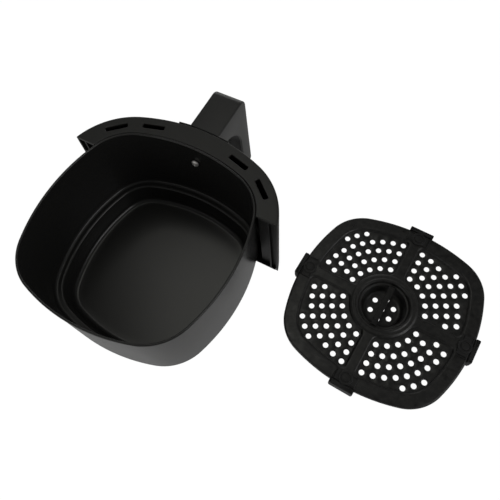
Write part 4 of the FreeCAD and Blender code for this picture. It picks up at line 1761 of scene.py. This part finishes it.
@dataclass
class Clips:
    """Four silicone clips that hold the plate's edge and stand on the table."""

    place: TrayPlace
    edge: float = 100.0
    width: float = 27.4
    proud: float = 3.95
    strip_lap: float = 0.9
    groove: float = 1.1
    tongue_width: float = 25.4
    grip: float = 14.6
    top: float = 17.0
    tongue_top: float = 16.3
    tongue_low: float = 15.2
    foot_draft: float = 1.0
    foot_round: float = 0.5
    waist: float = 0.45
    waist_round: float = 2.0
    tongue_draft: float = 0.1
    neck_ends: Pair = (3.0, 2.0)
    neck_side: float = 1.0
    neck_low: float = 10.6
    neck_draft: float = 0.2
    ease: float = 0.8
    ease_steps: int = 5
    corner: float = 1.1
    corner_steps: int = 4
    lead: float = 2.0
    pad: float = 15.6
    pad_top: float = 16.95
    pad_under: float = 15.2
    pad_rounds: tuple[float, ...] = (0.35, 0.1, 0.1, 0.35, 0.7)
    pad_steps: int = 4
    pad_sides: int = 48
    pole: float = 0.01
    plug: float = 9.0
    plug_place: float = 8.5
    plug_crown: float = 0.1
    ring_edges: tuple[float, ...] = (-0.5, -0.2, 0.6, 0.9)
    ring_depth: float = 1.0

    def _block(self, builder: ShellBuilder, sides: Pair, width: float, heights: Pair, draft: float) -> None:
        """Adds a block with round upright corners and eased borders.

        Args:
            builder: Mesh of the clip.
            sides: Its two faces along X.
            width: Its width along Y.
            heights: Its underside and its top.
            draft: How far its foot tapers in.
        """
        half, (near, far), (low, high) = width / 2, sides, heights
        corners = [(far, 0), (far, half), (near, half), (near, 0)]
        right = rounded_path(corners, [self.corner] * 2, self.corner_steps)
        plan = right[:-1] + [Vector((p.x, -p.y)) for p in right[:0:-1]]
        waist = low + (high - low) * self.waist
        section = rounded_path([(self.lead, low), (draft, low), (0.0, waist), (0.0, high), (self.lead, high)],
                               [self.foot_round, self.waist_round, self.ease], self.ease_steps)
        loops = builder.skin([lift(moved_path(plan, p.x, True), p.y) for p in section])
        builder.flat([loops[0]])
        builder.flat([loops[-1]])

    def shape(self, material: bpy.types.Material) -> bpy.types.Object:
        """Builds the clip of the +X edge, with the tray's middle at the origin.

        Args:
            material: Material of the clip.

        Returns:
            The clip.
        """
        builder = ShellBuilder()
        strip = self.edge - self.strip_lap
        tongue = strip - self.groove
        inner, outer = self.neck_ends
        self._block(builder, (strip, self.edge + self.proud), self.width, (0.0, self.top), self.foot_draft)
        self._block(builder, (self.edge - self.grip, tongue), self.tongue_width,
                    (self.tongue_low, self.tongue_top), self.tongue_draft)
        self._block(builder, (tongue - inner, strip + outer), self.tongue_width - 2 * self.neck_side,
                    (self.neck_low, self.pad_under), self.neck_draft)
        self._pad(builder)
        return builder.piece("clip_shape", material)

    def _pad(self, builder: ShellBuilder) -> None:
        """Adds the round pad with its plug.

        Args:
            builder: Mesh of the clip.
        """
        pad, groove = self.pad / 2, self.pad_top - self.ring_depth
        dip = zip(self.ring_edges, (self.pad_top, groove, groove, self.pad_top))
        profile = rounded_path([(self.pole, self.pad_top + self.plug_crown),
                                *((self.plug / 2 + edge, z) for edge, z in dip),
                                (pad, self.pad_top), (pad, self.pad_under)],
                               self.pad_rounds, self.pad_steps)
        middle = Vector((self.edge - self.plug_place, 0))
        builder.solid([lift(ring_points(middle, p.x, self.pad_sides), p.y) for p in profile])

    def build(self, finishes: Finishes, copies: CopyTree) -> None:
        """Copies the clip to the four sides and hands the set over.

        Args:
            finishes: All materials.
            copies: Tree that sets the copies.
        """
        spot = Vector((self.place.x, self.place.y, 0)) * MM
        turns = [Euler((0, 0, math.radians(turn + self.place.turn))) for turn in QUARTERS]
        spots = [(spot, turn, FULL_SIZE) for turn in turns]
        made = copies.place("silicone_clips", self.shape(finishes.silicone), finishes.silicone, spots)
        hand_over(made, Body.TRAY, Slot.CLIP, ["clip_right", "clip_rear", "clip_left", "clip_front"])


# Studio


@dataclass(frozen=True)
class Lamp:
    """Soft rectangular lamp, with its places and size in metres and its power in watts."""

    name: str
    place: Triple
    aim: Triple
    size: Pair
    power: float
    colour: Triple

    def hang(self) -> None:
        """Adds the lamp to the scene and turns it to the point that it lights."""
        data = bpy.data.lights.new(self.name, "AREA")
        data.shape = "RECTANGLE"
        data.size, data.size_y = self.size
        data.energy = self.power
        data.color = self.colour
        turn = (Vector(self.aim) - Vector(self.place)).to_track_quat("-Z", "Y")
        lamp = add_object(self.name, data)
        lamp.matrix_world = Matrix.Translation(self.place) @ turn.to_matrix().to_4x4()


@dataclass
class Studio:
    """Camera, pale floor, world and lamps."""

    eye: Triple = (-240.639, 142.514, 565.032)
    right: Triple = (-0.876272, -0.477247, -0.066202)
    down: Triple = (-0.407435, 0.807309, -0.426907)
    ahead: Triple = (0.257186, -0.347113, -0.901869)
    lens: float = 37.609
    sensor: float = 36.0
    near: float = 0.01
    floor_size: float = 8.0
    floor_drop: float = 0.3
    floor_tone: float = 0.9
    floor_white: float = 1.06
    glow: float = 0.94
    mirrored_glow: float = 0.18
    horizon: float = 0.5
    zenith: float = 0.12
    sky_span: Pair = (0.05, 0.6)
    sky_tint: Triple = (1, 0.995, 0.98)
    lamps: tuple[Lamp, ...] = (
        Lamp("Key", (-1.4, -0.1, 1.1), (-0.1, -0.05, 0.05), (0.9, 0.6), 5.5, (1, 1, 1)),
        Lamp("Rear", (0.75, 1.7, 0.85), (-0.05, 0, 0.05), (1.4, 0.8), 4, (1, 1, 0.97)),
        Lamp("Overhead", (0.38, -0.45, 1.9), (0.1, 0, 0), (0.85, 0.9), 3.4, (1, 1, 0.93)),
        Lamp("Front", (0.65, -1.7, 0.5), (0, -0.15, 0.1), (1.0, 0.7), 2.5, (1, 1, 0.97)),
    )

    def set_camera(self) -> None:
        """Places the camera at the photograph's viewing angle."""
        data = bpy.data.cameras.new("Camera")
        data.lens = self.lens
        data.sensor_width = self.sensor
        data.clip_start = self.near
        camera = add_object("Camera", data)
        x, y, z = Vector(self.right), -Vector(self.down), -Vector(self.ahead)
        turn = Matrix((x, y, z)).transposed().to_4x4()
        camera.matrix_world = Matrix.Translation(Vector(self.eye) * MM) @ turn
        bpy.context.scene.camera = camera

    def set_floor(self) -> None:
        """Lays the pale floor, which looks white and keeps the shadow."""
        builder = ShellBuilder()
        half = self.floor_size / 2 / MM
        corners = [Vector((x * half, y * half, -self.floor_drop))
                   for x, y in ((-1, -1), (1, -1), (1, 1), (-1, 1))]
        builder.cap(builder.loop(corners))
        made = bpy.data.materials.new("Pale floor")
        made.use_nodes = True
        sketch = NodeSketch(made.node_tree)
        made.node_tree.nodes.remove(made.node_tree.nodes["Principled BSDF"])
        matt = sketch.add("ShaderNodeBsdfDiffuse", {"Color": (*[self.floor_tone] * 3, 1)})
        white = sketch.add("ShaderNodeEmission", {"Color": (1, 1, 1, 1), "Strength": self.floor_white})
        seen = sketch.add("ShaderNodeLightPath")
        mirrored = sketch.math("MULTIPLY", seen.outputs["Is Glossy Ray"], self.mirrored_glow)
        direct = sketch.math("MULTIPLY", seen.outputs["Is Camera Ray"], self.glow)
        share = sketch.math("MAXIMUM", direct, mirrored)
        mixed = sketch.add("ShaderNodeMixShader", {0: share, 1: matt.outputs[0], 2: white.outputs[0]})
        sketch.feed(made.node_tree.nodes["Material Output"], {"Surface": mixed.outputs[0]})
        builder.piece("pale_floor", made)

    def set_world(self) -> None:
        """Sets a white backdrop for the camera and a soft graded sky for everything else."""
        world = bpy.data.worlds.new("Studio")
        bpy.context.scene.world = world
        world.use_nodes = True
        sketch = NodeSketch(world.node_tree)
        seen = sketch.add("ShaderNodeLightPath").outputs["Is Camera Ray"]
        place = sketch.add("ShaderNodeTexCoord").outputs["Generated"]
        height = sketch.add("ShaderNodeSeparateXYZ", {0: place}).outputs[2]
        low, high = self.sky_span
        ramp = sketch.add("ShaderNodeMapRange", {0: height, 1: low, 2: high, 3: self.horizon, 4: self.zenith},
                          interpolation_type="SMOOTHSTEP")
        soft = sketch.add("ShaderNodeBackground", {"Color": (*self.sky_tint, 1), "Strength": ramp.outputs[0]})
        white = sketch.add("ShaderNodeBackground", {"Color": (1, 1, 1, 1), "Strength": 1.0})
        mixed = sketch.add("ShaderNodeMixShader", {0: seen, 1: soft.outputs[0], 2: white.outputs[0]})
        sketch.feed(world.node_tree.nodes["World Output"], {"Surface": mixed.outputs[0]})

    def build(self) -> None:
        """Sets up the whole studio."""
        self.set_camera()
        self.set_floor()
        self.set_world()
        for lamp in self.lamps:
            lamp.hang()
        bpy.context.scene.view_settings.view_transform = "Standard"


def dress_solids(finishes: Finishes) -> None:
    """Gives the solids that stay in view their materials.

    Args:
        finishes: All materials.
    """
    choices = {"inner_panel": finishes.panel, "pan_bracket": finishes.zinc, "pan_nut": finishes.zinc,
               "pan_screw_washer": finishes.silicone}
    for name, material in choices.items():
        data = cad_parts[name].data
        data.materials.clear()
        data.materials.append(material)
        LOG.info("%s keeps its solid", name)


def main() -> None:
    """Builds every sub-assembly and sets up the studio."""
    logging.basicConfig(level=logging.INFO, format="%(name)s %(message)s")
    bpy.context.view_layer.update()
    finishes = Finishes.mixed()
    copies, linings = CopyTree(), HoleLipTree()
    cover = FrontCover()
    place = TrayPlace()
    Pan().build(finishes)
    PanScrew().build(finishes)
    cover.build(finishes)
    Handle(cover).build(finishes)
    SmallScrews().build(finishes, copies)
    CrisperPlate(place).build(finishes, linings)
    LiftCup(place).build(finishes, linings)
    Clips(place).build(finishes, copies)
    dress_solids(finishes)
    Studio().build()


if __name__ == "__main__":
    main()
